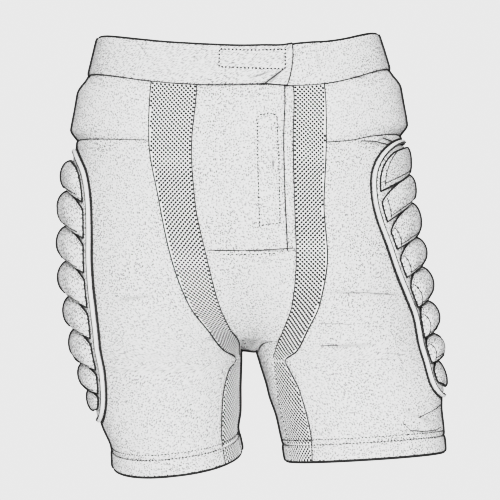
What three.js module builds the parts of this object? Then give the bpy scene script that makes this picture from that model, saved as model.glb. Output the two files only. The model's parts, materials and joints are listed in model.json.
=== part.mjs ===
// Padded sports shorts, held open as if worn: a waistband that laps over itself at the
// front, a fly, net panels, padded hip yokes, and on each hip a piped pad with foam ribs.
// Millimetres. +X is the wearer's left, -Y the front and +Z up. The origin is the middle
// of the waist opening, level with the band's top edge at the sides.
import * as THREE from "three";

// Driving dimensions.
const bodyLength = 445; // down the side, from the waist edge to the hem
const hipWidth = 340;
const hipDepth = 236;
const clothWall = 2.4;
const netWall = 1.8;
const bandWall = 3.2;
const hemWall = 3.4;
const panelGap = 0.4; // between the edges of two panels that are sewn together
const seatGap = 0.9; // between a piece and the curved face that it lies on
const bandHeight = 40;
const hemHeight = 16.5;
const yokeHeight = 67;
const yokePadding = 7.6;
const flyLength = 183; // below the waistband
const backingWall = 3;
const pipingWidth = 5.8;
const pipingHeight = 4.6;
const pipingMargin = 6.6; // from the piping's middle to the ends of the ribs
const ribSeat = 1; // between the ribs' flat backs and the pad's backing
const ribEdge = 1.6; // thickness of a rib along its sewn edge
const ribGap = 1.4;
const ribHeight = 15; // of the fullest rib
const ribDroop = 21; // of the ends of the rib that curves most
const ribsPerPad = 8;

// Angles of the two legs, which stand apart as in a stride.
const rightHemPitch = 0.117;
const rightHemRoll = 0.11;
const leftHemPitch = -0.077;
const leftHemRoll = 0.063;
const rightHemLift = 6;
const leftHemLift = 12;
const waistLean = 0.0173; // the waist stands higher at the wearer's left side

// Shape constants without a size.
const sectionPower = 2.2; // 2 is an ellipse, more is squarer
const radian = Math.PI / 180;

// One row per level. "down" and "dip" are shares of the body length, "mid" and "half" of
// half the hip width, "front", "back" and "shift" of half the hip depth. "tilt" is the
// share of the hem's pitch and roll, and "weld" how softly the two sides run together.
const sections = tableOf(
  ["down", "dip", "rightMid", "rightHalf", "leftMid", "leftHalf", "front", "back", "rightShift", "leftShift", "tilt", "weld"],
  [
    [0.0, 0.0423, -0.264, 0.601, 0.252, 0.589, 0.82, 0.84, 0, 0, 0, 0.6],
    [0.091, 0.041, -0.282, 0.638, 0.276, 0.632, 0.87, 0.92, 0, 0, 0, 0.6],
    [0.164, 0.028, -0.291, 0.663, 0.285, 0.66, 0.9, 0.98, 0, 0, 0, 0.6],
    [0.242, 0.0135, -0.301, 0.687, 0.294, 0.681, 0.92, 1.04, 0, 0, 0, 0.6],
    [0.386, 0.004, -0.319, 0.687, 0.313, 0.687, 0.93, 1.08, 0, 0, 0, 0.6],
    [0.504, 0.0, -0.35, 0.65, 0.38, 0.65, 0.92, 1.05, 0, 0, 0, 0.55],
    [0.621, 0.0, -0.411, 0.564, 0.491, 0.583, 0.87, 0.97, 0, 0, 0, 0.45],
    [0.679, 0.0, -0.445, 0.509, 0.558, 0.54, 0.82, 0.9, 0.005, -0.015, 0, 0.38],
    [0.726, 0.0, -0.463, 0.472, 0.61, 0.515, 0.77, 0.84, 0.01, -0.03, 0, 0.3],
    [0.773, 0.0, -0.448, 0.454, 0.648, 0.517, 0.74, 0.79, 0.03, -0.06, 0.15, 0.12],
    [0.834, 0.0, -0.436, 0.436, 0.697, 0.521, 0.71, 0.75, 0.05, -0.11, 0.4, 0.02],
    [0.895, 0.0, -0.423, 0.423, 0.73, 0.503, 0.69, 0.72, 0.07, -0.16, 0.65, 0.02],
    [0.953, 0.0, -0.399, 0.387, 0.749, 0.491, 0.67, 0.7, 0.09, -0.21, 0.95, 0.02],
    [1.0, 0.0, -0.383, 0.396, 0.76, 0.483, 0.68, 0.7, 0.1, -0.25, 1, 0.02],
  ],
);

// Where the seams run, in degrees round each leg: 0 faces the other leg, 90 the front,
// 180 the outside and 270 the back. The net panels lie between "Inner" and "Outer", and
// the panel of the leg goes on from "Outer" to "Back".
const seams = tableOf(
  ["down", "rightInner", "rightOuter", "rightBack", "leftInner", "leftOuter", "leftBack"],
  [
    [0.0, 87, 112, 262, 93, 110, 262],
    [0.091, 87, 112, 262, 93, 110, 262],
    [0.242, 88, 110, 262, 91, 108, 262],
    [0.386, 85, 103, 264, 90, 105, 264],
    [0.504, 77, 95, 270, 85, 101, 270],
    [0.621, 62, 79, 288, 72, 87, 288],
    [0.679, 46, 63, 304, 58, 73, 304],
    [0.726, 20, 45, 326, 42, 59, 326],
    [0.754, 14, 24, 334, 35, 46, 334],
    [0.773, 12, 37, 338, 33, 47, 338],
    [0.834, 12, 44.5, 340, 26, 49, 340],
    [0.895, 12, 47, 340, 20, 49, 340],
    [1.0, 12, 48, 340, 21, 47, 340],
  ],
);

// The hip pads' outline, in degrees before and behind the leg's outermost line. "down" is
// a share of the pad's own length. Both ends are rounded off besides.
const padOutline = tableOf(
  ["down", "rightFront", "rightBehind", "leftFront", "leftBehind"],
  [
    [0.0, 34, 40, 68, 34],
    [0.1, 41.5, 42, 61.5, 34],
    [0.2, 41, 43, 54.5, 35],
    [0.3, 39.5, 43, 48.5, 37],
    [0.4, 38.5, 43, 43, 40],
    [0.5, 40, 42, 39.3, 44],
    [0.6, 43.8, 41, 34.3, 47],
    [0.67, 46.5, 41, 30.5, 49],
    [0.75, 49, 40, 32.8, 50],
    [0.85, 52, 42, 38.5, 50],
    [1.0, 60, 45, 60, 52],
  ],
);
const padSpans = {
  right: { top: 0.262, bottom: 0.892 },
  left: { top: 0.2535, bottom: 0.856 },
};
const padEndPower = 0.3; // lower is squarer at the pad's two ends

// Where each rib starts, as a share of the pad's length, how far its ends droop below its
// middle, as a share of ribDroop, and how high it stands, as a share of ribHeight. The
// last row is where the ribs end.
const ribRows = tableOf(
  ["rib", "rightStart", "leftStart", "rightDroop", "leftDroop", "rightRise", "leftRise"],
  [
    [0, 0.04, 0.036, 0.19, 0.19, 0.65, 0.23],
    [1, 0.155, 0.123, 0.67, 0.9, 0.78, 0.45],
    [2, 0.285, 0.2295, 0.67, 1, 0.89, 0.63],
    [3, 0.412, 0.3606, 0.62, 0.62, 0.93, 0.77],
    [4, 0.539, 0.475, 0.57, 0.52, 0.8, 0.93],
    [5, 0.66, 0.607, 0.43, 0.29, 0.73, 1],
    [6, 0.78, 0.734, 0.29, 0.14, 0.63, 0.93],
    [7, 0.879, 0.85, 0.1, 0.05, 0.34, 0.27],
    [8, 0.966, 0.966, -0.29, -0.33, 0, 0],
  ],
);

// Levels where a panel begins or ends, as shares of the body length.
const waistSeam = bandHeight / bodyLength;
const yokeSeam = (bandHeight + yokeHeight) / bodyLength;
const flyBottom = (bandHeight + flyLength) / bodyLength;
const hemSeam = 1 - hemHeight / bodyLength;
const gussetColumns = 6;
const gussetRows = 8;
const netColumns = 3;
const sideColumns = 12;
const gussetTop = 0.705;
const gussetLow = 0.7354;
const netPinch = 0.754;
const stations = [
  0, waistSeam, yokeSeam, flyBottom, gussetTop, netPinch, hemSeam, 1,
  0.128, 0.164, 0.205, 0.3, 0.365, 0.43, 0.466, 0.545, 0.585, 0.621, 0.65, 0.679, 0.729,
  0.785, 0.83, 0.89,
].sort((a, b) => a - b);

function tableOf(names, rows) {
  const at = rows.map((row) => row[0]);
  const curves = {};
  names.slice(1).forEach((name, k) => {
    curves[name] = smoothCurve(at, rows.map((row) => row[k + 1]));
  });
  return curves;
}

// A smooth curve through the rows of a table that never swings past them.
function smoothCurve(xs, ys) {
  const slopes = ys.slice(1).map((y, k) => (y - ys[k]) / (xs[k + 1] - xs[k]));
  const tangents = ys.map((_, k) => {
    if (k === 0) return slopes[0];
    if (k === ys.length - 1) return slopes[k - 1];
    const before = slopes[k - 1];
    const after = slopes[k];
    return before * after <= 0 ? 0 : (2 * before * after) / (before + after);
  });
  return (x) => {
    let k = 0;
    while (k < xs.length - 2 && x > xs[k + 1]) k += 1;
    const width = xs[k + 1] - xs[k];
    const t = THREE.MathUtils.clamp((x - xs[k]) / width, 0, 1);
    const t2 = t * t;
    const t3 = t2 * t;
    return (
      ys[k] * (2 * t3 - 3 * t2 + 1) +
      ys[k + 1] * (3 * t2 - 2 * t3) +
      tangents[k] * width * (t3 - 2 * t2 + t) +
      tangents[k + 1] * width * (t3 - t2)
    );
  };
}

// The two legs' sections at one level, in millimetres. Above the crotch they overlap.
function levelAt(down) {
  const wide = hipWidth / 2;
  const deep = hipDepth / 2;
  const legs = {};
  for (const side of ["right", "left"])
    legs[side] = {
      mid: sections[side + "Mid"](down) * wide,
      half: sections[side + "Half"](down) * wide,
      shift: sections[side + "Shift"](down) * deep,
      front: sections.front(down) * deep,
      back: sections.back(down) * deep,
    };
  return { down, legs, weld: sections.weld(down) };
}

// Below 0 inside the garment's outline at this level, 0 on it and above 0 outside. With
// "only" set to a side it is the outline of that leg alone.
function outside(level, x, y) {
  const reach = ({ mid, half, shift, front, back }) => {
    const across = Math.abs(x - mid) / half;
    const along = Math.abs(y - shift) / (y < shift ? front : back);
    return (across ** sectionPower + along ** sectionPower) ** (1 / sectionPower) - 1;
  };
  const right = reach(level.legs.right);
  const left = reach(level.legs.left);
  const own = level.only === "right" ? right : left;
  const other = level.only === "right" ? left : right;
  const lower = level.only ? own : Math.min(right, left);
  const apart = level.only ? Math.max(0, other - own) : Math.abs(right - left);
  const shared = Math.max(0, 1 - apart / level.weld);
  return lower - (level.weld * shared * shared) / 4;
}

// The place where a straight line from inside the outline leaves it.
function crossing(level, x, y, dx, dy) {
  const farthest = hipWidth;
  const step = hipWidth / 90;
  let out = step;
  while (out < farthest && outside(level, x + dx * out, y + dy * out) < 0) out += step;
  let inside = out - step;
  for (let k = 0; k < 30; k += 1) {
    const middle = (inside + out) / 2;
    if (outside(level, x + dx * middle, y + dy * middle) < 0) inside = middle;
    else out = middle;
  }
  return [x + dx * out, y + dy * out];
}

// The height of a point of the outline: the waist dips at front and back, and the legs'
// lower sections are tilted.
function heightOf(side, level, x, y) {
  const { mid, shift, front, back } = level.legs[side];
  const toFront = THREE.MathUtils.clamp(-y / front, 0, 1.1);
  const toBack = THREE.MathUtils.clamp(y / back, 0, 1.1);
  const backDipShare = 0.3;
  const dip = sections.dip(level.down) * (toFront ** 3 + backDipShare * toBack ** 3);
  const tilt = sections.tilt(level.down);
  const isRight = side === "right";
  const pitch = (isRight ? rightHemPitch : leftHemPitch) * (y - shift);
  const roll = (isRight ? rightHemRoll : leftHemRoll) * (x - mid);
  const lift = isRight ? rightHemLift : leftHemLift;
  const lean = waistLean * x * (1 - THREE.MathUtils.smoothstep(level.down, 0.1, 0.5));
  return -bodyLength * (level.down + dip) + lean + tilt * (pitch + roll + lift);
}

function legPoint(side, down, degrees, alone) {
  const level = levelAt(down);
  if (alone !== undefined) {
    level.only = side;
    level.weld *= 1 - alone;
  }
  const { mid, shift } = level.legs[side];
  const inward = side === "right" ? 1 : -1;
  const [x, y] = crossing(
    level, mid, shift, inward * Math.cos(degrees * radian), -Math.sin(degrees * radian),
  );
  return new THREE.Vector3(x, y, heightOf(side, level, x, y));
}

// A point of the strip between the two legs' inner seams, at the front or at the back.
// "across" runs from 0 at the right leg's seam to 1 at the left leg's.
function stripPoint(face, down, across, nudge = 0) {
  const level = levelAt(down);
  const seam = face === "front" ? "Inner" : "Back";
  const from = legPoint("right", down, seams["right" + seam](down));
  const to = legPoint("left", down, seams["left" + seam](down));
  const x = THREE.MathUtils.lerp(from.x, to.x, across) + nudge;
  const facing = face === "front" ? -1 : 1;
  const [, y] = crossing(level, x, 0, 0, facing);
  return new THREE.Vector3(x, y, heightOf(x < 0 ? "right" : "left", level, x, y));
}

// Moves a point of a surface outwards. "pointAt" gives the surface from two parameters.
function raised(pointAt, u, v, du, dv, rise, outward) {
  const point = pointAt(u, v);
  const alongU = pointAt(u + du, v).sub(pointAt(u - du, v));
  const alongV = pointAt(u, v + dv).sub(pointAt(u, v - dv));
  const normal = alongU.cross(alongV).normalize();
  if (normal.dot(outward(point)) < 0) normal.negate();
  return point.addScaledVector(normal, rise);
}

const levelStep = 0.002;
const angleStep = 0.4;
const acrossStep = 0.01;

// "alone" from 0 to 1 frees the leg's outline from the other leg's.
function legAt(side, down, degrees, rise = 0, alone = undefined) {
  const { mid, shift } = levelAt(down).legs[side];
  const outward = (p) => new THREE.Vector3(p.x - mid, p.y - shift, 0);
  const pointAt = (u, v) => legPoint(side, u, v, alone);
  return raised(pointAt, down, degrees, levelStep, angleStep, rise, outward);
}

function stripAt(face, down, across, rise = 0, nudge = 0) {
  const facing = new THREE.Vector3(0, face === "front" ? -1 : 1, 0);
  const pointAt = (u, v) => stripPoint(face, u, v, nudge);
  return raised(pointAt, down, across, levelStep, acrossStep, rise, () => facing);
}

// Degrees that half the gap between two panels takes up on a leg.
function gapDegrees(side, down) {
  const nearPinch = Math.exp(-(((down - netPinch) / 0.045) ** 2));
  const wider = 1 + 1.3 * nearPinch;
  return (wider * panelGap) / 2 / levelAt(down).legs[side].half / radian;
}

// Half the gap between two panels, as a share of the body's length.
const gapDown = panelGap / 2 / bodyLength;

// A closed wall between two grids of points of the same size.
function wallGeometry(outer, inner) {
  const rows = outer.length;
  const columns = outer[0].length;
  const points = [...outer.flat(), ...inner.flat()];
  const offset = rows * columns;
  const index = [];
  const quad = (a, b, c, d) => index.push(a, b, c, a, c, d);
  for (let i = 0; i < rows - 1; i += 1)
    for (let j = 0; j < columns - 1; j += 1) {
      const a = i * columns + j;
      quad(a, a + 1, a + columns + 1, a + columns);
      quad(a + offset, a + columns + offset, a + columns + 1 + offset, a + 1 + offset);
    }
  for (let j = 0; j < columns - 1; j += 1) {
    const last = (rows - 1) * columns + j;
    quad(j + 1, j, j + offset, j + 1 + offset);
    quad(last, last + 1, last + 1 + offset, last + offset);
  }
  for (let i = 0; i < rows - 1; i += 1) {
    const first = i * columns;
    const last = first + columns - 1;
    quad(first, first + columns, first + columns + offset, first + offset);
    quad(last + columns, last, last + offset, last + columns + offset);
  }
  return facingOut(points, index);
}

// A ring of tube round a closed path: each station is a closed row of points.
function ringGeometry(stationsOfPoints) {
  const count = stationsOfPoints.length;
  const sides = stationsOfPoints[0].length;
  const index = [];
  for (let i = 0; i < count; i += 1)
    for (let j = 0; j < sides; j += 1) {
      const a = i * sides + j;
      const b = i * sides + ((j + 1) % sides);
      const c = ((i + 1) % count) * sides + ((j + 1) % sides);
      const d = ((i + 1) % count) * sides + j;
      index.push(a, b, c, a, c, d);
    }
  return facingOut(stationsOfPoints.flat(), index);
}

function facingOut(points, index) {
  let volume = 0;
  for (let k = 0; k < index.length; k += 3) {
    const [a, b, c] = [points[index[k]], points[index[k + 1]], points[index[k + 2]]];
    volume += a.dot(b.clone().cross(c));
  }
  if (volume < 0) index.reverse();
  const geometry = new THREE.BufferGeometry();
  geometry.setFromPoints(points);
  geometry.setIndex(index);
  geometry.computeVertexNormals();
  return geometry;
}

function evenly(count, from = 0, to = 1) {
  return Array.from({ length: count + 1 }, (_, k) => from + ((to - from) * k) / count);
}

function levelsBetween(from, to) {
  const tolerance = 1e-6;
  const between = stations.filter((s) => s > from + tolerance && s < to - tolerance);
  return [from + gapDown, ...between, to - gapDown];
}

// A grid of points from a function of two lists.
function gridOf(rows, columns, pointAt) {
  return rows.map((u) => columns.map((v) => pointAt(u, v)));
}

const materials = {
  cloth: new THREE.MeshStandardMaterial({ color: 0xdcdcda, roughness: 0.85 }),
  padding: new THREE.MeshStandardMaterial({ color: 0xd4d4d2, roughness: 0.8 }),
  net: new THREE.MeshStandardMaterial({ color: 0x8f8f8d, roughness: 0.9 }),
  piping: new THREE.MeshStandardMaterial({ color: 0xe6e6e4, roughness: 0.6 }),
};

const shorts = new THREE.Group();

function addPiece(name, geometry, material) {
  const mesh = new THREE.Mesh(geometry, materials[material]);
  mesh.name = name;
  shorts.add(mesh);
}

// A panel on one leg, between two levels. "runs" lists the seams that it lies between or
// passes, each with the number of columns up to it.
function addLegPanel(name, side, runs, from, to, material, wall, rise) {
  const counts = runs.map((run) => run.columns).slice(1);
  const columns = counts.reduce((sum, count) => sum + count, 0);
  const spread = 0.045;
  const place = (across, down, height) => {
    const gap = gapDegrees(side, down);
    let passed = 0;
    let k = 0;
    while (k < counts.length - 1 && across * columns > passed + counts[k]) {
      passed += counts[k];
      k += 1;
    }
    const part = (across * columns - passed) / counts[k];
    const [before, after] = [runs[k].seam, runs[k + 1].seam];
    const start = before(down) + (k === 0 ? gap : 0);
    const end = after(down) - (k === counts.length - 1 ? gap : 0);
    // Away from its first edge the panel follows a smoother line than the pinched seam.
    const calm = (before(down - spread) + before(down + spread)) / 2 + gap;
    const pinch = k === 0 && columns > netColumns ? (start - calm) * (1 - part) ** 5 : 0;
    const from = pinch ? calm : start;
    return legAt(side, down, THREE.MathUtils.lerp(from, end, part) + pinch, height);
  };
  const rows = levelsBetween(from, to);
  const acrosses = evenly(columns);
  const riseAt = (down, across) => (rise ? rise(down, across) : 0);
  addPiece(
    name,
    wallGeometry(
      gridOf(rows, acrosses, (u, v) => place(v, u, riseAt(u, v))),
      gridOf(rows, acrosses, (u, v) => place(v, u, -wall)),
    ),
    material,
  );
}

// A panel of the strip between the two legs' seams.
function addStripPanel(name, face, from, to, start, end, columns, rise) {
  const rows = levelsBetween(from, to);
  const acrosses = evenly(columns, start, end);
  const nudge = (across) => {
    if (across === start) return panelGap / 2;
    return across === end ? -panelGap / 2 : 0;
  };
  const riseAt = (across) => (rise ? rise(across) : 0);
  addPiece(
    name,
    wallGeometry(
      gridOf(rows, acrosses, (u, v) => stripAt(face, u, v, riseAt(v), nudge(v))),
      gridOf(rows, acrosses, (u, v) => stripAt(face, u, v, riseAt(v) - clothWall, nudge(v))),
    ),
    "cloth",
  );
}

// The waistband is one strip that starts under the front lap, goes round by the left
// side, the back and the right side, and ends in the lap over its own beginning.
function addWaistband() {
  const lapStart = 0.45;
  const lapEndTop = 1.03;
  const lapEndBottom = 0.925;
  const rampStart = 3.75;
  const rampEnd = 4.3;
  const netShare = 0.2;
  const turns = [
    ...evenly(4, lapStart, 0.94),
    ...evenly(netColumns, 1, 1 + netShare),
    ...evenly(sideColumns, 1 + netShare, 2).slice(1),
    ...evenly(gussetColumns, 2, 3).slice(1),
    ...evenly(sideColumns, 3, 4 - netShare).slice(1),
    ...evenly(netColumns, 4 - netShare, 4).slice(1),
    ...evenly(8, 4, 5).slice(1),
  ];
  const proud = 0.6;
  const lapRise = bandWall + seatGap;
  const place = (down, turn, height) => {
    const quarter = Math.floor(turn) % 4;
    const share = turn - Math.floor(turn);
    if (turn >= 4) {
      const end = THREE.MathUtils.lerp(lapEndTop, lapEndBottom, down / waistSeam);
      return stripAt("front", down, (turn - 4) * end, height);
    }
    if (quarter === 0) return stripAt("front", down, share, height);
    if (quarter === 2) return stripAt("back", down, 1 - share, height);
    const side = quarter === 1 ? "left" : "right";
    const along = side === "left" ? share : 1 - share;
    const [inner, outer, back] = ["Inner", "Outer", "Back"].map((seam) =>
      seams[side + seam](down),
    );
    const degrees =
      along < netShare
        ? THREE.MathUtils.lerp(inner, outer, along / netShare)
        : THREE.MathUtils.lerp(outer, back, (along - netShare) / (1 - netShare));
    return legAt(side, down, degrees, height);
  };
  const lift = (turn) => lapRise * THREE.MathUtils.smoothstep(turn, rampStart, rampEnd);
  const rows = [0, waistSeam / 2, waistSeam - gapDown];
  addPiece(
    "waistband",
    wallGeometry(
      gridOf(rows, turns, (u, v) => place(u, v, proud + lift(v))),
      gridOf(rows, turns, (u, v) => place(u, v, proud + lift(v) - bandWall)),
    ),
    "cloth",
  );
}

// Panels of the front and back.
function addBody() {
  const flyEdge = 0.9;
  const facingStart = 0.66;
  const flyLift = clothWall + seatGap;
  const flyRise = (across) => flyLift * THREE.MathUtils.smoothstep(across, 0.25, 0.6);
  addStripPanel("fly_panel", "front", waistSeam, flyBottom, 0, flyEdge, 7, flyRise);
  addStripPanel("fly_facing", "front", waistSeam, flyBottom, facingStart, 1, 3);
  addStripPanel("front_panel", "front", flyBottom, gussetTop, 0, 1, gussetColumns);
  addStripPanel("seat_panel", "back", waistSeam, gussetTop, 0, 1, gussetColumns);
}

// The inner thigh panel's top edge hangs between its two seams, from the front one at
// "along" 0 to the back one at 1.
function thighTop(along) {
  return THREE.MathUtils.lerp(gussetTop, gussetLow, Math.sin(Math.PI * along) ** 2);
}

function thighPoint(side, down, along, rise) {
  const gap = gapDegrees(side, down);
  const front = seams[side + "Inner"](down) - gap;
  const back = seams[side + "Back"](down) - 360 + gap;
  const alone = Math.sin(Math.PI * along) ** 2;
  return legAt(side, down, THREE.MathUtils.lerp(front, back, along), rise, alone);
}

function addInnerThigh(side) {
  const lowered = 5 * gapDown;
  const shares = levelsBetween(gussetTop, hemSeam).map(
    (down, k) => (down - gussetTop + (k === 0 ? lowered : 0)) / (hemSeam - gussetTop),
  );
  const place = (share, along, rise) => {
    const top = thighTop(along);
    return thighPoint(side, THREE.MathUtils.lerp(top, hemSeam, share), along, rise);
  };
  const acrosses = evenly(gussetRows);
  addPiece(
    side + "_inner_thigh_panel",
    wallGeometry(
      gridOf(shares, acrosses, (u, v) => place(u, v, 0)),
      gridOf(shares, acrosses, (u, v) => place(u, v, -clothWall)),
    ),
    "cloth",
  );
}

// The gusset is stretched between the front panel, the seat panel and the inner thighs.
function addGusset() {
  const patch = (rise) => {
    const end = (face, across) =>
      stripAt(face, gussetTop + gapDown, across, rise, panelGap * (1 - 2 * across));
    const edge = (side, along) => {
      const lower = gapDown * (1 - 2 * Math.sin(Math.PI * along));
      const point = thighPoint(side, thighTop(along) + lower, along, rise);
      point.x += side === "right" ? panelGap : -panelGap;
      return point;
    };
    const corner = {
      rightFront: edge("right", 0),
      rightBack: edge("right", 1),
      leftFront: edge("left", 0),
      leftBack: edge("left", 1),
    };
    return gridOf(evenly(gussetRows), evenly(gussetColumns), (along, across) => {
      const point = new THREE.Vector3();
      point.addScaledVector(end("front", across), 1 - along);
      point.addScaledVector(end("back", across), along);
      point.addScaledVector(edge("right", along), 1 - across);
      point.addScaledVector(edge("left", along), across);
      point.addScaledVector(corner.rightFront, -(1 - along) * (1 - across));
      point.addScaledVector(corner.leftFront, -(1 - along) * across);
      point.addScaledVector(corner.rightBack, -along * (1 - across));
      return point.addScaledVector(corner.leftBack, -along * across);
    });
  };
  addPiece("gusset", wallGeometry(patch(0), patch(-clothWall)), "cloth");
}

// One leg's panels: net, padded yoke, the leg itself and its hem.
function addLeg(side) {
  const inner = seams[side + "Inner"];
  const outer = seams[side + "Outer"];
  const back = seams[side + "Back"];
  const whole = (down) => inner(down) + 360;
  const padding = (down, across) => {
    const share = (down - waistSeam) / (yokeSeam - waistSeam);
    const fromTop = THREE.MathUtils.smoothstep(share, 0, 0.3);
    const toBottom = THREE.MathUtils.smoothstep(1 - share, 0, 0.16);
    const thinAtFront = 0.15;
    const roundSide = THREE.MathUtils.lerp(thinAtFront, 1, Math.sin(Math.PI * across) ** 0.8);
    return yokePadding * fromTop * toBottom * roundSide;
  };
  const hemRise = () => 0.4;
  const netRuns = [{ seam: inner }, { seam: outer, columns: netColumns }];
  const legRuns = [{ seam: outer }, { seam: back, columns: sideColumns }];
  const hemRuns = [...legRuns, { seam: whole, columns: gussetRows }];
  addLegPanel(side + "_front_net", side, netRuns, waistSeam, netPinch, "net", netWall);
  addLegPanel(side + "_thigh_net", side, netRuns, netPinch, hemSeam, "net", netWall);
  addLegPanel(side + "_yoke", side, legRuns, waistSeam, yokeSeam, "padding", clothWall, padding);
  addLegPanel(side + "_leg_panel", side, legRuns, yokeSeam, hemSeam, "cloth", clothWall);
  addLegPanel(side + "_hem_band", side, hemRuns, hemSeam, 1, "cloth", hemWall, hemRise);
  addLegPanel(side + "_net_hem", side, netRuns, hemSeam, 1, "net", hemWall, hemRise);
}

// The pad's outline as flat lengths in millimetres: "along" from its top end, "sideways"
// from its middle line, with the front edge below 0. It runs down the front edge and up
// the back one, moved inwards by the margin.
function flatOutline(side, margin) {
  const { top, bottom } = padSpans[side];
  const length = (bottom - top) * bodyLength;
  const dense = 160;
  const on = [];
  for (let k = 0; k < 2 * dense; k += 1) {
    const isFront = k < dense;
    const t = (isFront ? k : 2 * dense - k) / dense;
    const share = (1 - Math.cos(Math.PI * t)) / 2;
    const taper = Math.max(0, 4 * share * (1 - share)) ** padEndPower;
    const edge = padOutline[side + (isFront ? "Front" : "Behind")](share) * taper;
    const down = THREE.MathUtils.lerp(top, bottom, share);
    const radius = levelAt(down).legs[side].half;
    const sideways = (isFront ? -1 : 1) * edge * radian * radius;
    on.push(new THREE.Vector2(share * length, sideways));
  }
  return on.map((point, k) => {
    const run = on[(k + 1) % on.length].clone().sub(on[(k + on.length - 1) % on.length]);
    const inward = new THREE.Vector2(-run.y, run.x).normalize();
    return point.clone().addScaledVector(inward, margin);
  });
}

// A place over the pad, from its flat lengths.
function padPlace(side, along, sideways, rise) {
  const down = padSpans[side].top + along / bodyLength;
  const radius = levelAt(down).legs[side].half;
  return legAt(side, down, 180 + sideways / radius / radian, rise);
}

// How far the pad's inset outline reaches to the front (-1) or the back (1) at "along".
function reachAt(outline, along, facing) {
  const half = outline.length / 2;
  let best = 0;
  for (let k = 0; k < half; k += 1) {
    const from = outline[facing < 0 ? k : (outline.length - k) % outline.length];
    const to = outline[facing < 0 ? k + 1 : outline.length - k - 1];
    if ((from.x - along) * (to.x - along) > 0 || from.x === to.x) continue;
    const share = (along - from.x) / (to.x - from.x);
    best = Math.max(best, Math.abs(THREE.MathUtils.lerp(from.y, to.y, share)));
  }
  return best;
}

// Evenly spaced points of a closed flat outline.
function evenSteps(outline, count) {
  const closed = [...outline, outline[0]];
  const lengths = [0];
  closed.slice(1).forEach((point, k) => {
    lengths.push(lengths[k] + point.distanceTo(closed[k]));
  });
  const total = lengths[lengths.length - 1];
  return evenly(count).slice(0, count).map((share) => {
    const k = Math.max(1, lengths.findIndex((length) => length >= share * total));
    const part = (share * total - lengths[k - 1]) / (lengths[k] - lengths[k - 1]);
    return closed[k - 1].clone().lerp(closed[k], part);
  });
}

function addPadBacking(side) {
  const margin = pipingWidth / 2 + 1.3;
  const outline = flatOutline(side, margin);
  const ends = outline.map((point) => point.x);
  const first = Math.min(...ends);
  const last = Math.max(...ends);
  const rows = evenly(13, 0.07, 0.95).map((t) => {
    const eased = (1 - Math.cos(Math.PI * t)) / 2;
    return THREE.MathUtils.lerp(first, last, eased);
  });
  const place = (rise) => (along, round) =>
    padPlace(side, along, round * reachAt(outline, along, round < 0 ? -1 : 1), rise);
  addPiece(
    side + "_pad_backing",
    wallGeometry(
      gridOf(rows, evenly(12, -1, 1), place(seatGap + backingWall)),
      gridOf(rows, evenly(12, -1, 1), place(seatGap)),
    ),
    "padding",
  );
}

// The piping is a flat tube that follows the pad's outline.
function addPiping(side) {
  const count = 48;
  const sides = 6;
  const path = evenSteps(flatOutline(side, 0), count);
  const centre = seatGap + pipingHeight / 2;
  const on = path.map(({ x, y }) => padPlace(side, x, y, centre));
  const above = path.map(({ x, y }) => padPlace(side, x, y, centre + 1));
  const rings = on.map((point, k) => {
    const next = on[(k + 1) % count];
    const before = on[(k + count - 1) % count];
    const up = above[k].clone().sub(point).normalize();
    const sideways = next.clone().sub(before).normalize().cross(up).normalize();
    return evenly(sides).slice(0, sides).map((turn) => {
      const angle = 2 * Math.PI * turn;
      return point.clone()
        .addScaledVector(sideways, (pipingWidth / 2) * Math.cos(angle))
        .addScaledVector(up, (pipingHeight / 2) * Math.sin(angle));
    });
  });
  addPiece(side + "_piping", ringGeometry(rings), "piping");
}

// One foam rib: an arch that lies across the pad, fullest at its middle. "across" runs
// down the rib from -1 to 1, and "round" along it from its front end to its back end.
function addRib(side, number) {
  const outline = flatOutline(side, pipingMargin);
  const { top, bottom } = padSpans[side];
  const padLength = (bottom - top) * bodyLength;
  const edgeAt = (k, round) => {
    const droop = ribDroop * ribRows[side + "Droop"](k) * Math.abs(round) ** 1.7;
    return ribRows[side + "Start"](k) * padLength + droop;
  };
  const alongOf = (across, round) =>
    THREE.MathUtils.lerp(
      edgeAt(number, round) + ribGap / 2,
      edgeAt(number + 1, round) - ribGap / 2,
      (across + 1) / 2,
    );
  const fullest = ribHeight * ribRows[side + "Rise"](number);
  const riseOf = (across, round) => {
    const dome = Math.sqrt(1 - Math.abs(across) ** 2.3);
    const ends = Math.sqrt(1 - Math.max(0, (Math.abs(round) - 0.8) / 0.2) ** 2);
    const thin = 1 - 0.35 * round * round;
    return ribEdge + (fullest - ribEdge) * dome * ends * thin;
  };
  const seat = seatGap + backingWall + ribSeat;
  const place = (across, round, rise) => {
    const along = alongOf(across, round);
    const reach = reachAt(outline, along, round < 0 ? -1 : 1);
    return padPlace(side, along, round * reach, rise);
  };
  const acrosses = [-1, -0.72, 0, 0.72, 1];
  const rounds = [-1, -0.93, -0.7, -0.45, -0.22, 0, 0.22, 0.45, 0.7, 0.93, 1];
  addPiece(
    `${side}_rib_${number + 1}`,
    wallGeometry(
      gridOf(acrosses, rounds, (q, r) => place(q, r, seat + riseOf(q, r))),
      gridOf(acrosses, rounds, (q, r) => place(q, r, seat)),
    ),
    "padding",
  );
}

addWaistband();
addBody();
addGusset();
for (const side of ["right", "left"]) {
  addLeg(side);
  addInnerThigh(side);
  addPadBacking(side);
  addPiping(side);
  for (let number = 0; number < ribsPerPad; number += 1) addRib(side, number);
}

export default shorts;
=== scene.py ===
# Looks for the padded hip shorts: cloth panels, nets with real holes, padded yokes, piped
# hip pads with foam ribs, and the seams, binding and stitching that hold them together.
# Lengths in the tables are millimetres unless a name says otherwise; Blender gets metres.
import json
import math

import bpy
import numpy as np
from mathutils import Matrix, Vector
from mathutils.bvhtree import BVHTree

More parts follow.
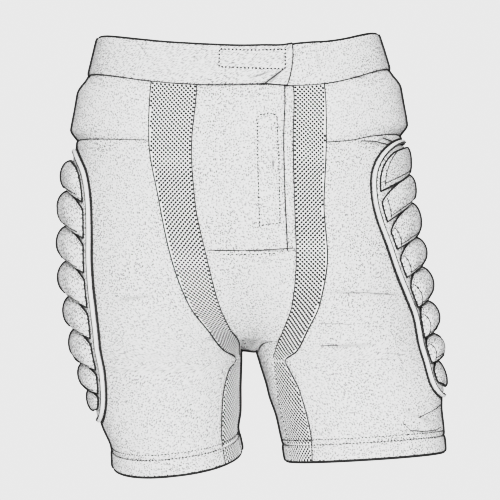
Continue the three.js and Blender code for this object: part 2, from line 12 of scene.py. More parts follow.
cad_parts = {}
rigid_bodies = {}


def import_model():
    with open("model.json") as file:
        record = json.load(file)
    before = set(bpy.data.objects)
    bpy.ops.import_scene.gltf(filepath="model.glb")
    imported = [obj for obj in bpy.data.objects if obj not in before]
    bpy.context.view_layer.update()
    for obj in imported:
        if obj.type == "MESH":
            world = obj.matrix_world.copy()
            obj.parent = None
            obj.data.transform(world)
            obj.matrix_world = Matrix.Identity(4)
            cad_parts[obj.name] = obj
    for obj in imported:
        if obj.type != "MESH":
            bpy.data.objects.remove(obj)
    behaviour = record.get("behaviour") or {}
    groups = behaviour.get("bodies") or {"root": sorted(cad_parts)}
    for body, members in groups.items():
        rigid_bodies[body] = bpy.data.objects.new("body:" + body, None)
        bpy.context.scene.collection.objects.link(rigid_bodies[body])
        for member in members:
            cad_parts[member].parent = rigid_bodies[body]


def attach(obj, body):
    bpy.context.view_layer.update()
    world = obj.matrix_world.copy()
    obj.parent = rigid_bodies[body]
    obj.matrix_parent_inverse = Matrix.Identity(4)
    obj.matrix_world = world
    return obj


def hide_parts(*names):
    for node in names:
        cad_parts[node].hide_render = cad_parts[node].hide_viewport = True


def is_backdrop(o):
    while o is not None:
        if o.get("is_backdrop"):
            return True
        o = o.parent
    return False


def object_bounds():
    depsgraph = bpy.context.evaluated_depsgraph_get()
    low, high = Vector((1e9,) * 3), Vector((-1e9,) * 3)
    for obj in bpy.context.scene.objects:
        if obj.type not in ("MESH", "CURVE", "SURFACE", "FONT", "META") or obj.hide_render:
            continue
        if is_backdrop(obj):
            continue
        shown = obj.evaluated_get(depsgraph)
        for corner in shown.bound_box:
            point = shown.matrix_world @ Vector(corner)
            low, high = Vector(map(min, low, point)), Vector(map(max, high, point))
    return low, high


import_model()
cad_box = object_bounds()
bpy.ops.object.select_all(action="DESELECT")

MM = 0.001

# ------------------------------------------------------------------ sizes of the garment
body_length = 445
hip_width = 340
hip_depth = 236
cloth_wall = 2.4
band_wall = 3.2
hem_wall = 3.4
panel_gap = 0.4
seat_gap = 0.9
band_height = 40
hem_height = 16.5
yoke_height = 67
yoke_padding = 7.6
fly_length = 183
backing_wall = 3
piping_width = 4.2
piping_shift = 0.5
piping_height = 4.6
piping_margin = 6.6
rib_seat = 1
rib_edge = 0.9
rib_gap = 1.4
ribs_per_pad = 8
section_power = 2.2
waist_lean = 0.0173
hem_tilt = {"right": (0.117, 0.11, 6), "left": (-0.077, 0.063, 12)}


def smooth_curve(xs, ys):
    """A smooth curve through the rows of a table that never swings past them."""
    slopes = np.diff(ys) / np.diff(xs)
    before, after = slopes[:-1], slopes[1:]
    same = before * after > 0
    mean = np.where(same, 2 * before * after / np.where(same, before + after, 1), 0)
    tangents = np.concatenate([slopes[:1], mean, slopes[-1:]])

    def at(x):
        x = np.asarray(x, float)
        k = np.clip(np.searchsorted(xs, x, side="left") - 1, 0, len(xs) - 2)
        width = xs[k + 1] - xs[k]
        t = np.clip((x - xs[k]) / width, 0, 1)
        t2, t3 = t * t, t**3
        return (
            ys[k] * (2 * t3 - 3 * t2 + 1)
            + ys[k + 1] * (3 * t2 - 2 * t3)
            + tangents[k] * width * (t3 - 2 * t2 + t)
            + tangents[k + 1] * width * (t3 - t2)
        )

    return at


def table_of(names, rows):
    """One smooth curve for each named column, over the first one."""
    rows = np.array(rows, float)
    return {name: smooth_curve(rows[:, 0], rows[:, k + 1]) for k, name in enumerate(names[1:])}


# Both legs' outlines by level: middles and half widths as shares of half the hip width, depths
# and shifts as shares of half its depth, and how softly the two legs run together (weld).
sections = table_of(
    [
        "down", "dip", "right_mid", "right_half", "left_mid", "left_half",
        "front", "back", "right_shift", "left_shift", "tilt", "weld",
    ],
    [
        [0.0, 0.0423, -0.264, 0.601, 0.252, 0.589, 0.82, 0.84, 0, 0, 0, 0.6],
        [0.091, 0.041, -0.282, 0.638, 0.276, 0.632, 0.87, 0.92, 0, 0, 0, 0.6],
        [0.164, 0.028, -0.291, 0.663, 0.285, 0.66, 0.9, 0.98, 0, 0, 0, 0.6],
        [0.242, 0.0135, -0.301, 0.687, 0.294, 0.681, 0.92, 1.04, 0, 0, 0, 0.6],
        [0.386, 0.004, -0.319, 0.687, 0.313, 0.687, 0.93, 1.08, 0, 0, 0, 0.6],
        [0.504, 0.0, -0.35, 0.65, 0.38, 0.65, 0.92, 1.05, 0, 0, 0, 0.55],
        [0.621, 0.0, -0.411, 0.564, 0.491, 0.583, 0.87, 0.97, 0, 0, 0, 0.45],
        [0.679, 0.0, -0.445, 0.509, 0.558, 0.54, 0.82, 0.9, 0.005, -0.015, 0, 0.38],
        [0.726, 0.0, -0.463, 0.472, 0.61, 0.515, 0.77, 0.84, 0.01, -0.03, 0, 0.3],
        [0.773, 0.0, -0.448, 0.454, 0.648, 0.517, 0.74, 0.79, 0.03, -0.06, 0.15, 0.12],
        [0.834, 0.0, -0.436, 0.436, 0.692, 0.516, 0.71, 0.75, 0.05, -0.11, 0.4, 0.02],
        [0.895, 0.0, -0.423, 0.423, 0.719, 0.492, 0.69, 0.72, 0.07, -0.16, 0.65, 0.02],
        [0.953, 0.0, -0.399, 0.387, 0.739, 0.481, 0.67, 0.7, 0.09, -0.21, 0.95, 0.02],
        [1.0, 0.0, -0.383, 0.396, 0.752, 0.475, 0.68, 0.7, 0.1, -0.25, 1, 0.02],
    ],
)
# Degrees round each leg, from its inner side over the front, where the panels meet.
seams = table_of(
    ["down", "right_inner", "right_outer", "right_back", "left_inner", "left_outer", "left_back"],
    [
        [0.0, 87, 112, 262, 93, 110, 262],
        [0.091, 87, 112, 262, 93, 110, 262],
        [0.242, 88, 110, 262, 91, 108, 262],
        [0.386, 85, 103, 264, 90, 105, 264],
        [0.504, 77, 95, 270, 85, 101, 270],
        [0.621, 62, 79, 288, 72, 87, 288],
        [0.679, 46, 63, 304, 58, 73, 304],
        [0.726, 20, 45, 326, 42, 59, 326],
        [0.754, 14, 24, 334, 35, 46, 334],
        [0.773, 12, 37, 338, 33, 47, 338],
        [0.834, 12, 44.5, 340, 26, 49, 340],
        [0.895, 12, 47, 340, 20, 49, 340],
        [1.0, 12, 48, 340, 21, 47, 340],
    ],
)
# Degrees that each pad reaches to the front and behind, by share of its length.
pad_outline = table_of(
    ["down", "right_front", "right_behind", "left_front", "left_behind"],
    [
        [0.0, 34, 40, 68, 34],
        [0.1, 41.5, 42, 61.5, 34],
        [0.2, 41, 43, 54.5, 35],
        [0.3, 39.5, 43, 48.5, 37],
        [0.4, 38.5, 43, 43, 40],
        [0.5, 40, 42, 39.3, 44],
        [0.6, 43.8, 41, 34.3, 47],
        [0.67, 46.5, 41, 30.5, 49],
        [0.75, 49, 40, 32.8, 50],
        [0.85, 52, 42, 38.5, 50],
        [1.0, 60, 45, 60, 52],
    ],
)
pad_spans = {"right": (0.262, 0.892), "left": (0.2535, 0.856)}
pad_end_power = 0.3
rib_height = 15
rib_droop = 21
# Where each rib starts along its pad, how far its ends droop and how full it is, as shares.
rib_rows = table_of(
    ("rib", "right_start", "left_start", "right_droop", "left_droop", "right_rise", "left_rise"),
    [
        (0, 0.04, 0.036, 0.19, 0.19, 0.65, 0.23),
        (1, 0.155, 0.123, 0.67, 0.9, 0.78, 0.45),
        (2, 0.285, 0.2295, 0.67, 1, 0.89, 0.63),
        (3, 0.412, 0.3606, 0.62, 0.62, 0.93, 0.77),
        (4, 0.539, 0.475, 0.57, 0.52, 0.8, 0.93),
        (5, 0.66, 0.607, 0.43, 0.29, 0.73, 1),
        (6, 0.78, 0.734, 0.29, 0.14, 0.63, 0.93),
        (7, 0.879, 0.85, 0.1, 0.05, 0.34, 0.27),
        (8, 0.966, 0.966, -0.29, -0.33, 0, 0),
    ],
)

waist_seam = band_height / body_length
yoke_seam = (band_height + yoke_height) / body_length
fly_bottom = (band_height + fly_length) / body_length
hem_seam = 1 - hem_height / body_length
gusset_top = 0.705
gusset_low = 0.7354
net_pinch = 0.754
gap_down = panel_gap / 2 / body_length

# How far the front sits below its even line, in mm: place across, top edge, band seam, yoke seam.
waist_set = table_of(
    ["across", "top", "band", "yoke"],
    [
        (-150, 2.2, 0.8, 1.2),
        (-125, 1.1, 0.0, 1.2),
        (-108, 0.0, -0.5, 1.2),
        (-89, -1.0, -0.5, 1.2),
        (-44, -1.8, -0.7, 0.4),
        (-10, -1.1, -1.4, 0.0),
        (22, -0.2, -1.0, 0.0),
        (42, 1.4, 1.8, 0.0),
        (56, 0.6, 2.8, 0.6),
        (71, 1.3, 4.0, 3.2),
        (86, 3.0, 4.5, 5.2),
        (107, 4.0, 4.0, 4.8),
        (130, 3.6, 2.2, 1.6),
        (153, 3.0, 0.2, 0.0),
    ],
)


# ------------------------------------------------------------------ the garment's surface
facing_of = {"front": -1.0, "back": 1.0}
search_steps = 90
search_halvings = 22
settle_fade, settle_back, settle_reach = 0.12, 40, 60
lean_fade = (0.1, 0.5)
back_dip = 0.3
pinch_reach = 0.045
pinch_gap = 1.3
# Small steps to a point's neighbours, for its normal: down, degrees round a leg, share across.
near_down, near_degrees, near_across = 0.002, 0.4, 0.01


def smoothstep(x, low, high):
    t = np.clip((x - low) / (high - low), 0, 1)
    return t * t * (3 - 2 * t)


def bell(x, reach):
    return np.exp(-((x / reach) ** 2))


def alike(*values):
    """The values as arrays of one shape."""
    return np.broadcast_arrays(*(np.asarray(value, float) for value in values))


def level_at(down):
    wide, deep = hip_width / 2, hip_depth / 2
    level = {"down": down, "weld": sections["weld"](down)}
    for side in ("right", "left"):
        level[side] = {
            "mid": sections[side + "_mid"](down) * wide,
            "half": sections[side + "_half"](down) * wide,
            "shift": sections[side + "_shift"](down) * deep,
            "front": sections["front"](down) * deep,
            "back": sections["back"](down) * deep,
        }
    return level


def outside(level, x, y, only=None):
    """Below 0 inside the garment's outline at this level and above 0 outside it."""

    def reach(leg):
        across = np.abs(x - leg["mid"]) / leg["half"]
        along = np.abs(y - leg["shift"]) / np.where(y < leg["shift"], leg["front"], leg["back"])
        return (across**section_power + along**section_power) ** (1 / section_power) - 1

    right, left = reach(level["right"]), reach(level["left"])
    if only:
        own, other = (right, left) if only == "right" else (left, right)
        lower, apart = own, np.maximum(0, other - own)
    else:
        lower, apart = np.minimum(right, left), np.abs(right - left)
    weld = np.maximum(level["weld"], 1e-9)
    shared = np.maximum(0, 1 - apart / weld)
    return lower - weld * shared**2 / 4


def crossing(level, x, y, dx, dy, only=None):
    """Where a straight line from inside the outline leaves it."""
    step = hip_width / search_steps
    out = np.full(np.broadcast(x, y, dx, dy, level["down"]).shape, step)
    moving = np.ones(out.shape, bool)
    for _ in range(search_steps):
        moving &= outside(level, x + dx * out, y + dy * out, only) < 0
        if not moving.any():
            break
        out = np.where(moving, out + step, out)
    inside = out - step
    for _ in range(search_halvings):
        middle = (inside + out) / 2
        within = outside(level, x + dx * middle, y + dy * middle, only) < 0
        inside, out = np.where(within, middle, inside), np.where(within, out, middle)
    return x + dx * out, y + dy * out


def settle(down, x, y):
    """How far the worn waist sits below its even line."""
    low = np.clip(down / waist_seam, 0, 1)
    lower = np.clip((down - waist_seam) / (yoke_seam - waist_seam), 0, 1)
    band = waist_set["top"](x) * (1 - low) + waist_set["band"](x) * low
    sits = band * (1 - lower) + waist_set["yoke"](x) * lower
    gone = smoothstep(down, yoke_seam, yoke_seam + settle_fade)
    return sits * (1 - gone) * np.clip((settle_back - y) / settle_reach, 0, 1)


def height_of(side, level, x, y):
    leg, down = level[side], level["down"]
    to_front = np.clip(-y / leg["front"], 0, 1.1)
    to_back = np.clip(y / leg["back"], 0, 1.1)
    dip = sections["dip"](down) * (to_front**3 + back_dip * to_back**3)
    lean = waist_lean * x * (1 - smoothstep(down, *lean_fade))
    pitch, roll, lift = hem_tilt[side]
    tilt = pitch * (y - leg["shift"]) + roll * (x - leg["mid"]) + lift
    even = -body_length * (down + dip) + lean + sections["tilt"](down) * tilt
    return even - settle(down, x, y)


def leg_point(side, down, degrees, alone=None):
    """A point of a leg. "alone" is the share by which the leg lets go of the other one."""
    down, degrees = alike(down, degrees)
    level = level_at(down)
    only = None if alone is None else side
    if only:
        level["weld"] = level["weld"] * (1 - alone)
    inward = 1 if side == "right" else -1
    turn = np.radians(degrees)
    mid, shift = level[side]["mid"], level[side]["shift"]
    x, y = crossing(level, mid, shift, inward * np.cos(turn), -np.sin(turn), only)
    return np.stack([x, y, height_of(side, level, x, y)], -1)


def strip_point(face, down, across, nudge=0):
    """A point between the two legs' seams, at the front or the back."""
    down, across = alike(down, across)
    seam = "_inner" if face == "front" else "_back"
    start = leg_point("right", down, seams["right" + seam](down))[..., 0]
    end = leg_point("left", down, seams["left" + seam](down))[..., 0]
    x = start + (end - start) * across + nudge
    level = level_at(down)
    x, y = crossing(level, x, 0.0, 0.0, facing_of[face])
    z = np.where(x < 0, height_of("right", level, x, y), height_of("left", level, x, y))
    return np.stack([x, y, z], -1)


def unit(v):
    return v / np.maximum(np.linalg.norm(v, axis=-1, keepdims=True), 1e-12)


def turned(normal, towards):
    """Normals, turned round where they point away from a direction."""
    away = np.sum(normal * towards, -1, keepdims=True) < 0
    return np.where(away, -normal, normal)


def normal_by_steps(point_at, u, v, du, dv, outward):
    """The surface's outward direction, from four points close by."""
    along_u = point_at(u + du, v) - point_at(u - du, v)
    along_v = point_at(u, v + dv) - point_at(u, v - dv)
    return turned(unit(np.cross(along_u, along_v)), outward)


def leg_axis(side, points):
    """The leg's middle, at the height of each point."""
    level = level_at(np.clip(-points[..., 2] / body_length, 0, 1))[side]
    return np.stack([level["mid"], level["shift"], points[..., 2]], -1)


def leg_at(side, down, degrees, rise=0.0):
    """Points of a leg, lifted off its surface, and the surface's outward directions."""
    down, degrees, rise = alike(down, degrees, rise)
    point = leg_point(side, down, degrees)
    leg = level_at(down)[side]
    outward = np.stack([point[..., 0] - leg["mid"], point[..., 1] - leg["shift"], 0 * down], -1)
    normal = normal_by_steps(
        lambda u, v: leg_point(side, u, v), down, degrees, near_down, near_degrees, outward
    )
    return point + normal * rise[..., None], normal


def strip_at(face, down, across, rise=0.0):
    down, across, rise = alike(down, across, rise)
    normal = normal_by_steps(
        lambda u, v: strip_point(face, u, v), down, across, near_down, near_across,
        np.array([0, facing_of[face], 0]),
    )
    return strip_point(face, down, across) + normal * rise[..., None], normal


def gap_degrees(side, down):
    """Half the gap between two panels, in degrees: wider where the nets are pinched."""
    wider = 1 + pinch_gap * bell(down - net_pinch, pinch_reach)
    return wider * panel_gap / 2 / level_at(down)[side]["half"] / math.radians(1)


# ------------------------------------------------------------------ camera and what it sees
eye = np.array([0.0, -1800.0, -222.6])
focal_px = 1800 / 1.04
centre_px = (240.0, 250.0)
picture_px = 500


def seen_at(points):
    """Where points of the garment lie in the 500 px picture."""
    away = points[..., 1] - eye[1]
    right = centre_px[0] + focal_px * (points[..., 0] - eye[0]) / away
    down = centre_px[1] - focal_px * (points[..., 2] - eye[2]) / away
    return right, down


# Creases that the picture shows, as lines in it: start, end, depth and half width in mm.
creases = [
    ((283.0, 69.5), (264.5, 83.5), 1.3, 1.5),
    ((270.0, 71.5), (251.0, 77.5), 0.6, 1.6),
    ((278.0, 76.0), (270.0, 83.0), 0.5, 1.4),
    ((381.0, 137.5), (397.0, 144.5), 0.5, 2.0),
    ((360.0, 140.6), (389.0, 145.2), 0.4, 2.0),
    ((272.0, 158.0), (273.5, 167.0), 0.9, 1.4),
    ((322.0, 292.0), (396.0, 294.0), 0.35, 2.0),
    ((330.0, 346.0), (372.0, 345.0), 0.45, 2.2),
    ((406.0, 412.0), (436.0, 423.0), 0.35, 2.4),
    ((398.0, 430.0), (434.0, 432.0), 0.3, 2.4),
    ((350.0, 76.0), (368.0, 77.5), 0.5, 1.6),
    ((317.0, 48.0), (319.5, 66.0), 0.45, 1.6),
    ((207.0, 340.0), (236.0, 336.0), 0.5, 2.0),
    ((118.0, 300.0), (150.0, 296.0), 0.4, 2.4),
]


crease_end = 3
crease_behind = 20
crease_ridge = 0.45
crease_painted_shade = 1.5


def crease_depth(points):
    """How deep the creases are at these points, and how much painted shade darkens their valleys.
    """
    right, down = seen_at(points)
    in_front = points[..., 1] < crease_behind
    total, dark = np.zeros(right.shape), np.zeros(right.shape)
    for (x0, y0), (x1, y1), depth, half in creases:
        length = math.hypot(x1 - x0, y1 - y0)
        along = ((right - x0) * (x1 - x0) + (down - y0) * (y1 - y0)) / length
        aside = ((right - x0) * (y1 - y0) - (down - y0) * (x1 - x0)) / length
        share = np.clip(along / length, 0, 1)
        past = along - share * length
        fade = bell(past, crease_end) * np.sin(math.pi * (0.84 * share + 0.08)) ** 0.5
        deep = np.where(in_front, depth * fade, 0)
        ridges = bell(np.abs(aside) - 2 * half, half)
        total += deep * (bell(aside, half) - crease_ridge * ridges)
        # Painted shade: the valley's darkening, which the cloth's colour takes from the fold
        # attribute.
        dark += crease_painted_shade * deep * bell(aside, 0.6 * half)
    return total, np.clip(dark, 0, 1)


def slack(points):
    """Slow swells of the stretched cloth, in millimetres."""
    x, y, z = points[..., 0], points[..., 1], points[..., 2]
    wide = np.sin(x / 23 + z / 61) * np.sin(z / 37 + y / 29 + 1.3)
    fine = np.sin(x / 9.5 - z / 17 + 0.7) * np.sin(y / 11 + z / 13)
    return 0.45 * wide + 0.16 * fine


# ------------------------------------------------------------------ meshes
def new_piece(name, points, faces, uv=None):
    """An object from points in mm; its UV map holds lengths on the flat cloth."""
    mesh = bpy.data.meshes.new(name)
    mesh.from_pydata((points * MM).tolist(), [], faces)
    if uv is not None:
        layer = mesh.uv_layers.new(name="cut")
        corners = np.zeros(len(mesh.loops), np.int32)
        mesh.loops.foreach_get("vertex_index", corners)
        layer.data.foreach_set("uv", (uv * MM)[corners].astype(np.float32).ravel())
    piece = bpy.data.objects.new(name, mesh)
    bpy.context.scene.collection.objects.link(piece)
    return piece


def smooth(piece):
    piece.data.polygons.foreach_set("use_smooth", np.ones(len(piece.data.polygons), bool))
    piece.data.update()


def closed_piece(name, points, faces, uv):
    """A closed, smooth object from four-sided faces, turned so that they point outwards."""
    a, b, c, d = (points[faces[:, k]] for k in range(4))
    if np.sum(a * np.cross(b, c)) + np.sum(a * np.cross(c, d)) < 0:
        faces = faces[:, ::-1]
    piece = new_piece(name, points, faces.tolist(), uv)
    smooth(piece)
    return piece


def edit_whole(piece, *steps):
    """Runs mesh operators on all of a piece and leaves it selected."""
    bpy.context.view_layer.objects.active = piece
    piece.select_set(True)
    bpy.ops.object.mode_set(mode="EDIT")
    bpy.ops.mesh.select_all(action="SELECT")
    for operator, values in steps:
        operator(**values)
    bpy.ops.object.mode_set(mode="OBJECT")


def grid_faces(rows, columns, offset=0, wrap=False):
    last = columns if wrap else columns - 1
    i, j = np.meshgrid(np.arange(rows - 1), np.arange(last), indexing="ij")
    a = i * columns + j
    b = i * columns + (j + 1) % columns
    return np.stack([a, b, b + columns, a + columns], -1).reshape(-1, 4) + offset


def slab(name, outer, inner, across, down):
    """A closed wall between two grids of points."""
    rows, columns = outer.shape[:2]
    count = rows * columns
    top = grid_faces(rows, columns)
    under = grid_faces(rows, columns, count)[:, ::-1]
    rim = np.concatenate(
        [
            np.arange(columns),
            np.arange(1, rows) * columns + columns - 1,
            (rows - 1) * columns + np.arange(columns - 2, -1, -1),
            np.arange(rows - 2, 0, -1) * columns,
        ]
    )
    following = np.roll(rim, -1)
    side = np.stack([following, rim, rim + count, following + count], -1)
    points = np.concatenate([outer.reshape(-1, 3), inner.reshape(-1, 3)])
    uv = np.stack([across, down], -1).reshape(-1, 2)
    faces = np.concatenate([top, under, side])
    return closed_piece(name, points, faces, np.concatenate([uv, uv]))


def grid_normals(points, towards):
    normal = np.cross(np.gradient(points, axis=0), np.gradient(points, axis=1))
    return turned(unit(normal), towards)


def run_lengths(points):
    """How far each point of a grid lies from its first column and first row."""
    down = np.linalg.norm(np.diff(points, axis=0), axis=-1)
    across = np.linalg.norm(np.diff(points, axis=1), axis=-1)
    down = np.concatenate([np.zeros((1, points.shape[1])), np.cumsum(down, 0)])
    across = np.concatenate([np.zeros((points.shape[0], 1)), np.cumsum(across, 1)], 1)
    return across, down


def edge_distance(across, down):
    sideways = np.minimum(across, across[:, -1:] - across)
    return np.minimum(sideways, np.minimum(down, down[-1:] - down))


# Distances from an edge at which a panel's grid has its outermost rows.
edge_marks = np.array([0.0, 0.5, 1.1, 2.0, 3.2])


def edged(start, end, length, step):
    """Shares from start to end, closer together near both ends."""
    near = edge_marks[edge_marks < length / 3]
    middle = np.linspace(near[-1], length - near[-1], max(2, int(round(length / step))))
    marks = np.concatenate([near[:-1], middle, length - near[:-1][::-1]])
    return start + (end - start) * marks / length


outer_grids = {}
edge_drop = 0.85
edge_reach = 1.5
calm_reach = 9


def cloth_piece(
    name, node_name, points, towards, wall=cloth_wall, rise=0.0, creased=True, pad=False
):
    """A cloth panel as a wall with rolled edges, made from a grid of its seat's points."""
    normal = grid_normals(points, towards)
    across, down = run_lengths(points)
    from_edge = edge_distance(across, down)
    fold, fold_painted_shade = crease_depth(points) if creased else (0, np.zeros(points.shape[:2]))
    lift = rise - edge_drop * bell(from_edge, edge_reach)
    lift = lift + slack(points) * (1 - bell(from_edge, calm_reach)) - fold
    outer = points + normal * lift[..., None]
    piece = slab(name, outer, points - normal * wall, across, down)
    # The fold attribute holds painted shade that darkens the colour in the creases' valleys.
    shade = piece.data.attributes.new("fold", "FLOAT", "POINT")
    shades = np.concatenate([fold_painted_shade.ravel(), np.zeros(fold_painted_shade.size)])
    shade.data.foreach_set("value", shades.astype(np.float32))
    outer_grids[name] = outer
    if pad:
        dress(piece, node_name, padding)
    else:
        dress(piece, node_name, cloth)
        declare_sheet(points, across, down)


soft_stretch = 0.95
least_area_share = 0.35


def declare_sheet(points, across, down):
    """Works out how large the worn panel is as cut: a little under its worn size."""
    wide = float(across[:, -1].max()) * MM * soft_stretch
    long = float(down[-1].max()) * MM * soft_stretch
    side_a = points[1:, :-1] - points[:-1, :-1]
    side_b = points[:-1, 1:] - points[:-1, :-1]
    worn = float(np.linalg.norm(np.cross(side_a, side_b), axis=-1).sum())
    area = worn * MM**2 * soft_stretch**2
    wide = min(wide, area / (least_area_share * long))
    area = min(area, wide * long)


def dress(piece, node_name, material):
    piece.data.materials.append(material)
    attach(piece, "root")
    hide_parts(node_name)


# ------------------------------------------------------------------ finishes
def new_material(name):
    material = bpy.data.materials.new(name)
    material.use_nodes = True
    nodes = material.node_tree.nodes
    place = nodes.new("ShaderNodeTexCoord")
    return material, nodes, material.node_tree.links, nodes["Principled BSDF"], place


def node(nodes, kind, **values):
    """A new node with its settings; inputs are named with _ for a space."""
    made = nodes.new("ShaderNode" + kind)
    for key, value in values.items():
        if hasattr(made, key):
            setattr(made, key, value)
        else:
            made.inputs[key.replace("_", " ")].default_value = value
    return made


def grey(value):
    return (value, value, value, 1)


def combined(nodes, links, operation, first, second):
    made = node(nodes, "Math", operation=operation)
    links.new(first, made.inputs[0])
    links.new(second, made.inputs[1])
    return made.outputs["Value"]


def ranged(nodes, links, value, low, high, to_low=0.0, to_high=1.0):
    made = node(nodes, "MapRange", clamp=True, From_Min=low, From_Max=high)
    made.inputs["To Min"].default_value = to_low
    made.inputs["To Max"].default_value = to_high
    links.new(value, made.inputs["Value"])
    return made.outputs["Result"]


def noise(nodes, links, place, scale, detail):
    made = node(nodes, "TexNoise", Scale=scale, Detail=detail)
    links.new(place.outputs["Object"], made.inputs["Vector"])
    return made.outputs["Fac"]


def blend(nodes, links, share, low, high):
    made = node(nodes, "Mix", data_type="RGBA", A=low, B=high)
    links.new(share, made.inputs["Factor"])
    return made


def raised(nodes, links, shader, height, strength, distance):
    bump = node(nodes, "Bump", Strength=strength, Distance=distance)
    links.new(height, bump.inputs["Height"])
    links.new(bump.outputs["Normal"], shader.inputs["Normal"])


fleck_scale = 450.0
wave_per_mm = 314.0


def knit_finish(name, pale, speck, speck_share, knit_pitch, knit_depth, roughness, sheen):
    """Stretch knit: pale yarn, darker flecks, painted shade in the creases' valleys and a fine
    ribbed face.
    """
    material, nodes, links, shader, place = new_material(name)
    flecks = node(nodes, "TexVoronoi", voronoi_dimensions="2D", Scale=fleck_scale, Randomness=1.0)
    links.new(place.outputs["UV"], flecks.inputs["Vector"])
    pick = node(nodes, "SeparateColor")
    links.new(flecks.outputs["Color"], pick.inputs["Color"])
    size = ranged(nodes, links, flecks.outputs["Distance"], 0.26, 0.42, 1.0, 0.0)
    strong = ranged(nodes, links, pick.outputs["Red"], 0.0, 0.5)
    chosen = combined(nodes, links, "MULTIPLY", size, strong)
    patches = noise(nodes, links, place, 26.0, 3.0)
    density = ranged(nodes, links, patches, 0.38, 0.66, 0.82 * speck_share, speck_share)
    amount = combined(nodes, links, "MULTIPLY", chosen, density)
    # Painted shade: the fold attribute darkens the colour in the creases' valleys, together with
    # the flecks.
    painted_fold_shade = node(nodes, "Attribute", attribute_name="fold")
    flecks_and_painted_fold_shade = combined(nodes, links, "MAXIMUM", amount, painted_fold_shade.outputs["Fac"])
    heather = noise(nodes, links, place, 900.0, 2.0)
    tone = blend(nodes, links, heather, grey(pale * 0.95), grey(min(1, pale * 1.05)))
    colour = blend(nodes, links, flecks_and_painted_fold_shade, grey(pale), grey(speck))
    links.new(tone.outputs["Result"], colour.inputs["A"])
    links.new(colour.outputs["Result"], shader.inputs["Base Color"])
    ribs = node(nodes, "TexWave", bands_direction="X", Scale=wave_per_mm / knit_pitch)
    ribs.inputs["Distortion"].default_value = 1.2
    ribs.inputs["Detail"].default_value = 1.0
    ribs.inputs["Detail Scale"].default_value = 3.0
    links.new(place.outputs["UV"], ribs.inputs["Vector"])
    grain = combined(nodes, links, "ADD", ribs.outputs["Fac"], heather)
    raised(nodes, links, shader, grain, 0.35, knit_depth)
    shader.inputs["Roughness"].default_value = roughness
    shader.inputs["Sheen Weight"].default_value = sheen
    shader.inputs["Sheen Roughness"].default_value = 0.5
    shader.inputs["Specular IOR Level"].default_value = 0.25
    return material


def thread_finish(name, dark, light, twist):
    """Twisted sewing thread: two tones that turn about it."""
    material, nodes, links, shader, place = new_material(name)
    grain = noise(nodes, links, place, twist, 2.0)
    colour = blend(nodes, links, grain, grey(dark), grey(light))
    links.new(colour.outputs["Result"], shader.inputs["Base Color"])
    raised(nodes, links, shader, grain, 0.4, 0.0003)
    shader.inputs["Roughness"].default_value = 0.75
    return material


cloth = knit_finish("pale_stretch_knit", 0.84, 0.09, 0.92, 1.3, 0.00025, 0.9, 0.05)
padding = knit_finish("foam_backed_knit", 0.86, 0.1, 0.85, 1.3, 0.00025, 0.88, 0.05)
rib_cloth = knit_finish("rib_cover_knit", 0.84, 0.06, 0.95, 1.1, 0.0003, 0.85, 0.05)
net_yarn = knit_finish("net_yarn", 0.86, 0.5, 0.2, 0.9, 0.0002, 0.8, 0.0)
piping_cloth = knit_finish("piping_tape", 0.84, 0.5, 0.2, 1.0, 0.00015, 0.6, 0.0)
# Painted shade for the nets' holes: a near-black sheet behind them, finished like thread.
net_hole_shade_sheet = thread_finish("dark_net_lining", 0.02, 0.045, 700.0)
# Charcoal thread, for real seams and binding and for the dark cords and lines of painted shade
# along outlines and gathers.
dark_thread_and_shade = thread_finish("charcoal_thread_and_shade", 0.022, 0.05, 1500.0)
# Grey thread, for real stitching and seams and for the grey lines of painted shade in folds and on
# the ribs.
grey_thread_and_shade = thread_finish("grey_thread_and_shade", 0.04, 0.09, 1500.0)


# ------------------------------------------------------------------ cloth panels
grid_step = 1.8
body_calm_power = 5
front_way, back_way = (np.array([0, facing_of[face], 0]) for face in ("front", "back"))


def band_outward(points):
    return points * [1.0, 2.0, 0.0]


def under_crotch(points):
    return points * [0, 0.3, 0] + [0, 0, -60]


def panel_degrees(side, runs, down, across):
    """Degrees round the leg of a panel that passes the seams in "runs"."""
    counts = [count for _, count in runs[1:]]
    whole = sum(counts)
    gap = gap_degrees(side, down)
    columns = []
    for share in across:
        passed, k = 0, 0
        while k < len(counts) - 1 and share * whole > passed + counts[k]:
            passed += counts[k]
            k += 1
        part = (share * whole - passed) / counts[k]
        before, after = runs[k][0], runs[k + 1][0]
        start = before(down) + (gap if k == 0 else 0)
        end = after(down) - (gap if k == len(counts) - 1 else 0)
        if k == 0:
            # Away from its front edge the panel's columns run straighter than the seam does.
            calm = (before(down - pinch_reach) + before(down + pinch_reach)) / 2 + gap
            edge = (start - calm) * (1 - part) ** body_calm_power
            columns.append(calm + (end - calm) * part + edge)
        else:
            columns.append(start + (end - start) * part)
    return np.stack(columns, -1)


def panel_rows(top, bottom):
    return edged(top + gap_down, bottom - gap_down, (bottom - top) * body_length, grid_step)


def leg_grid(side, runs, top, bottom, width):
    rows, across = panel_rows(top, bottom), edged(0, 1, width, grid_step)
    return leg_point(side, rows[:, None], panel_degrees(side, runs, rows, across)), rows, across


def strip_grid(face, top, bottom, start, end, width):
    rows, across = panel_rows(top, bottom), edged(start, end, width, grid_step)
    nudge = np.zeros(len(across))
    nudge[0], nudge[-1] = panel_gap / 2, -panel_gap / 2
    return strip_point(face, rows[:, None], across[None, :], nudge[None, :]), across


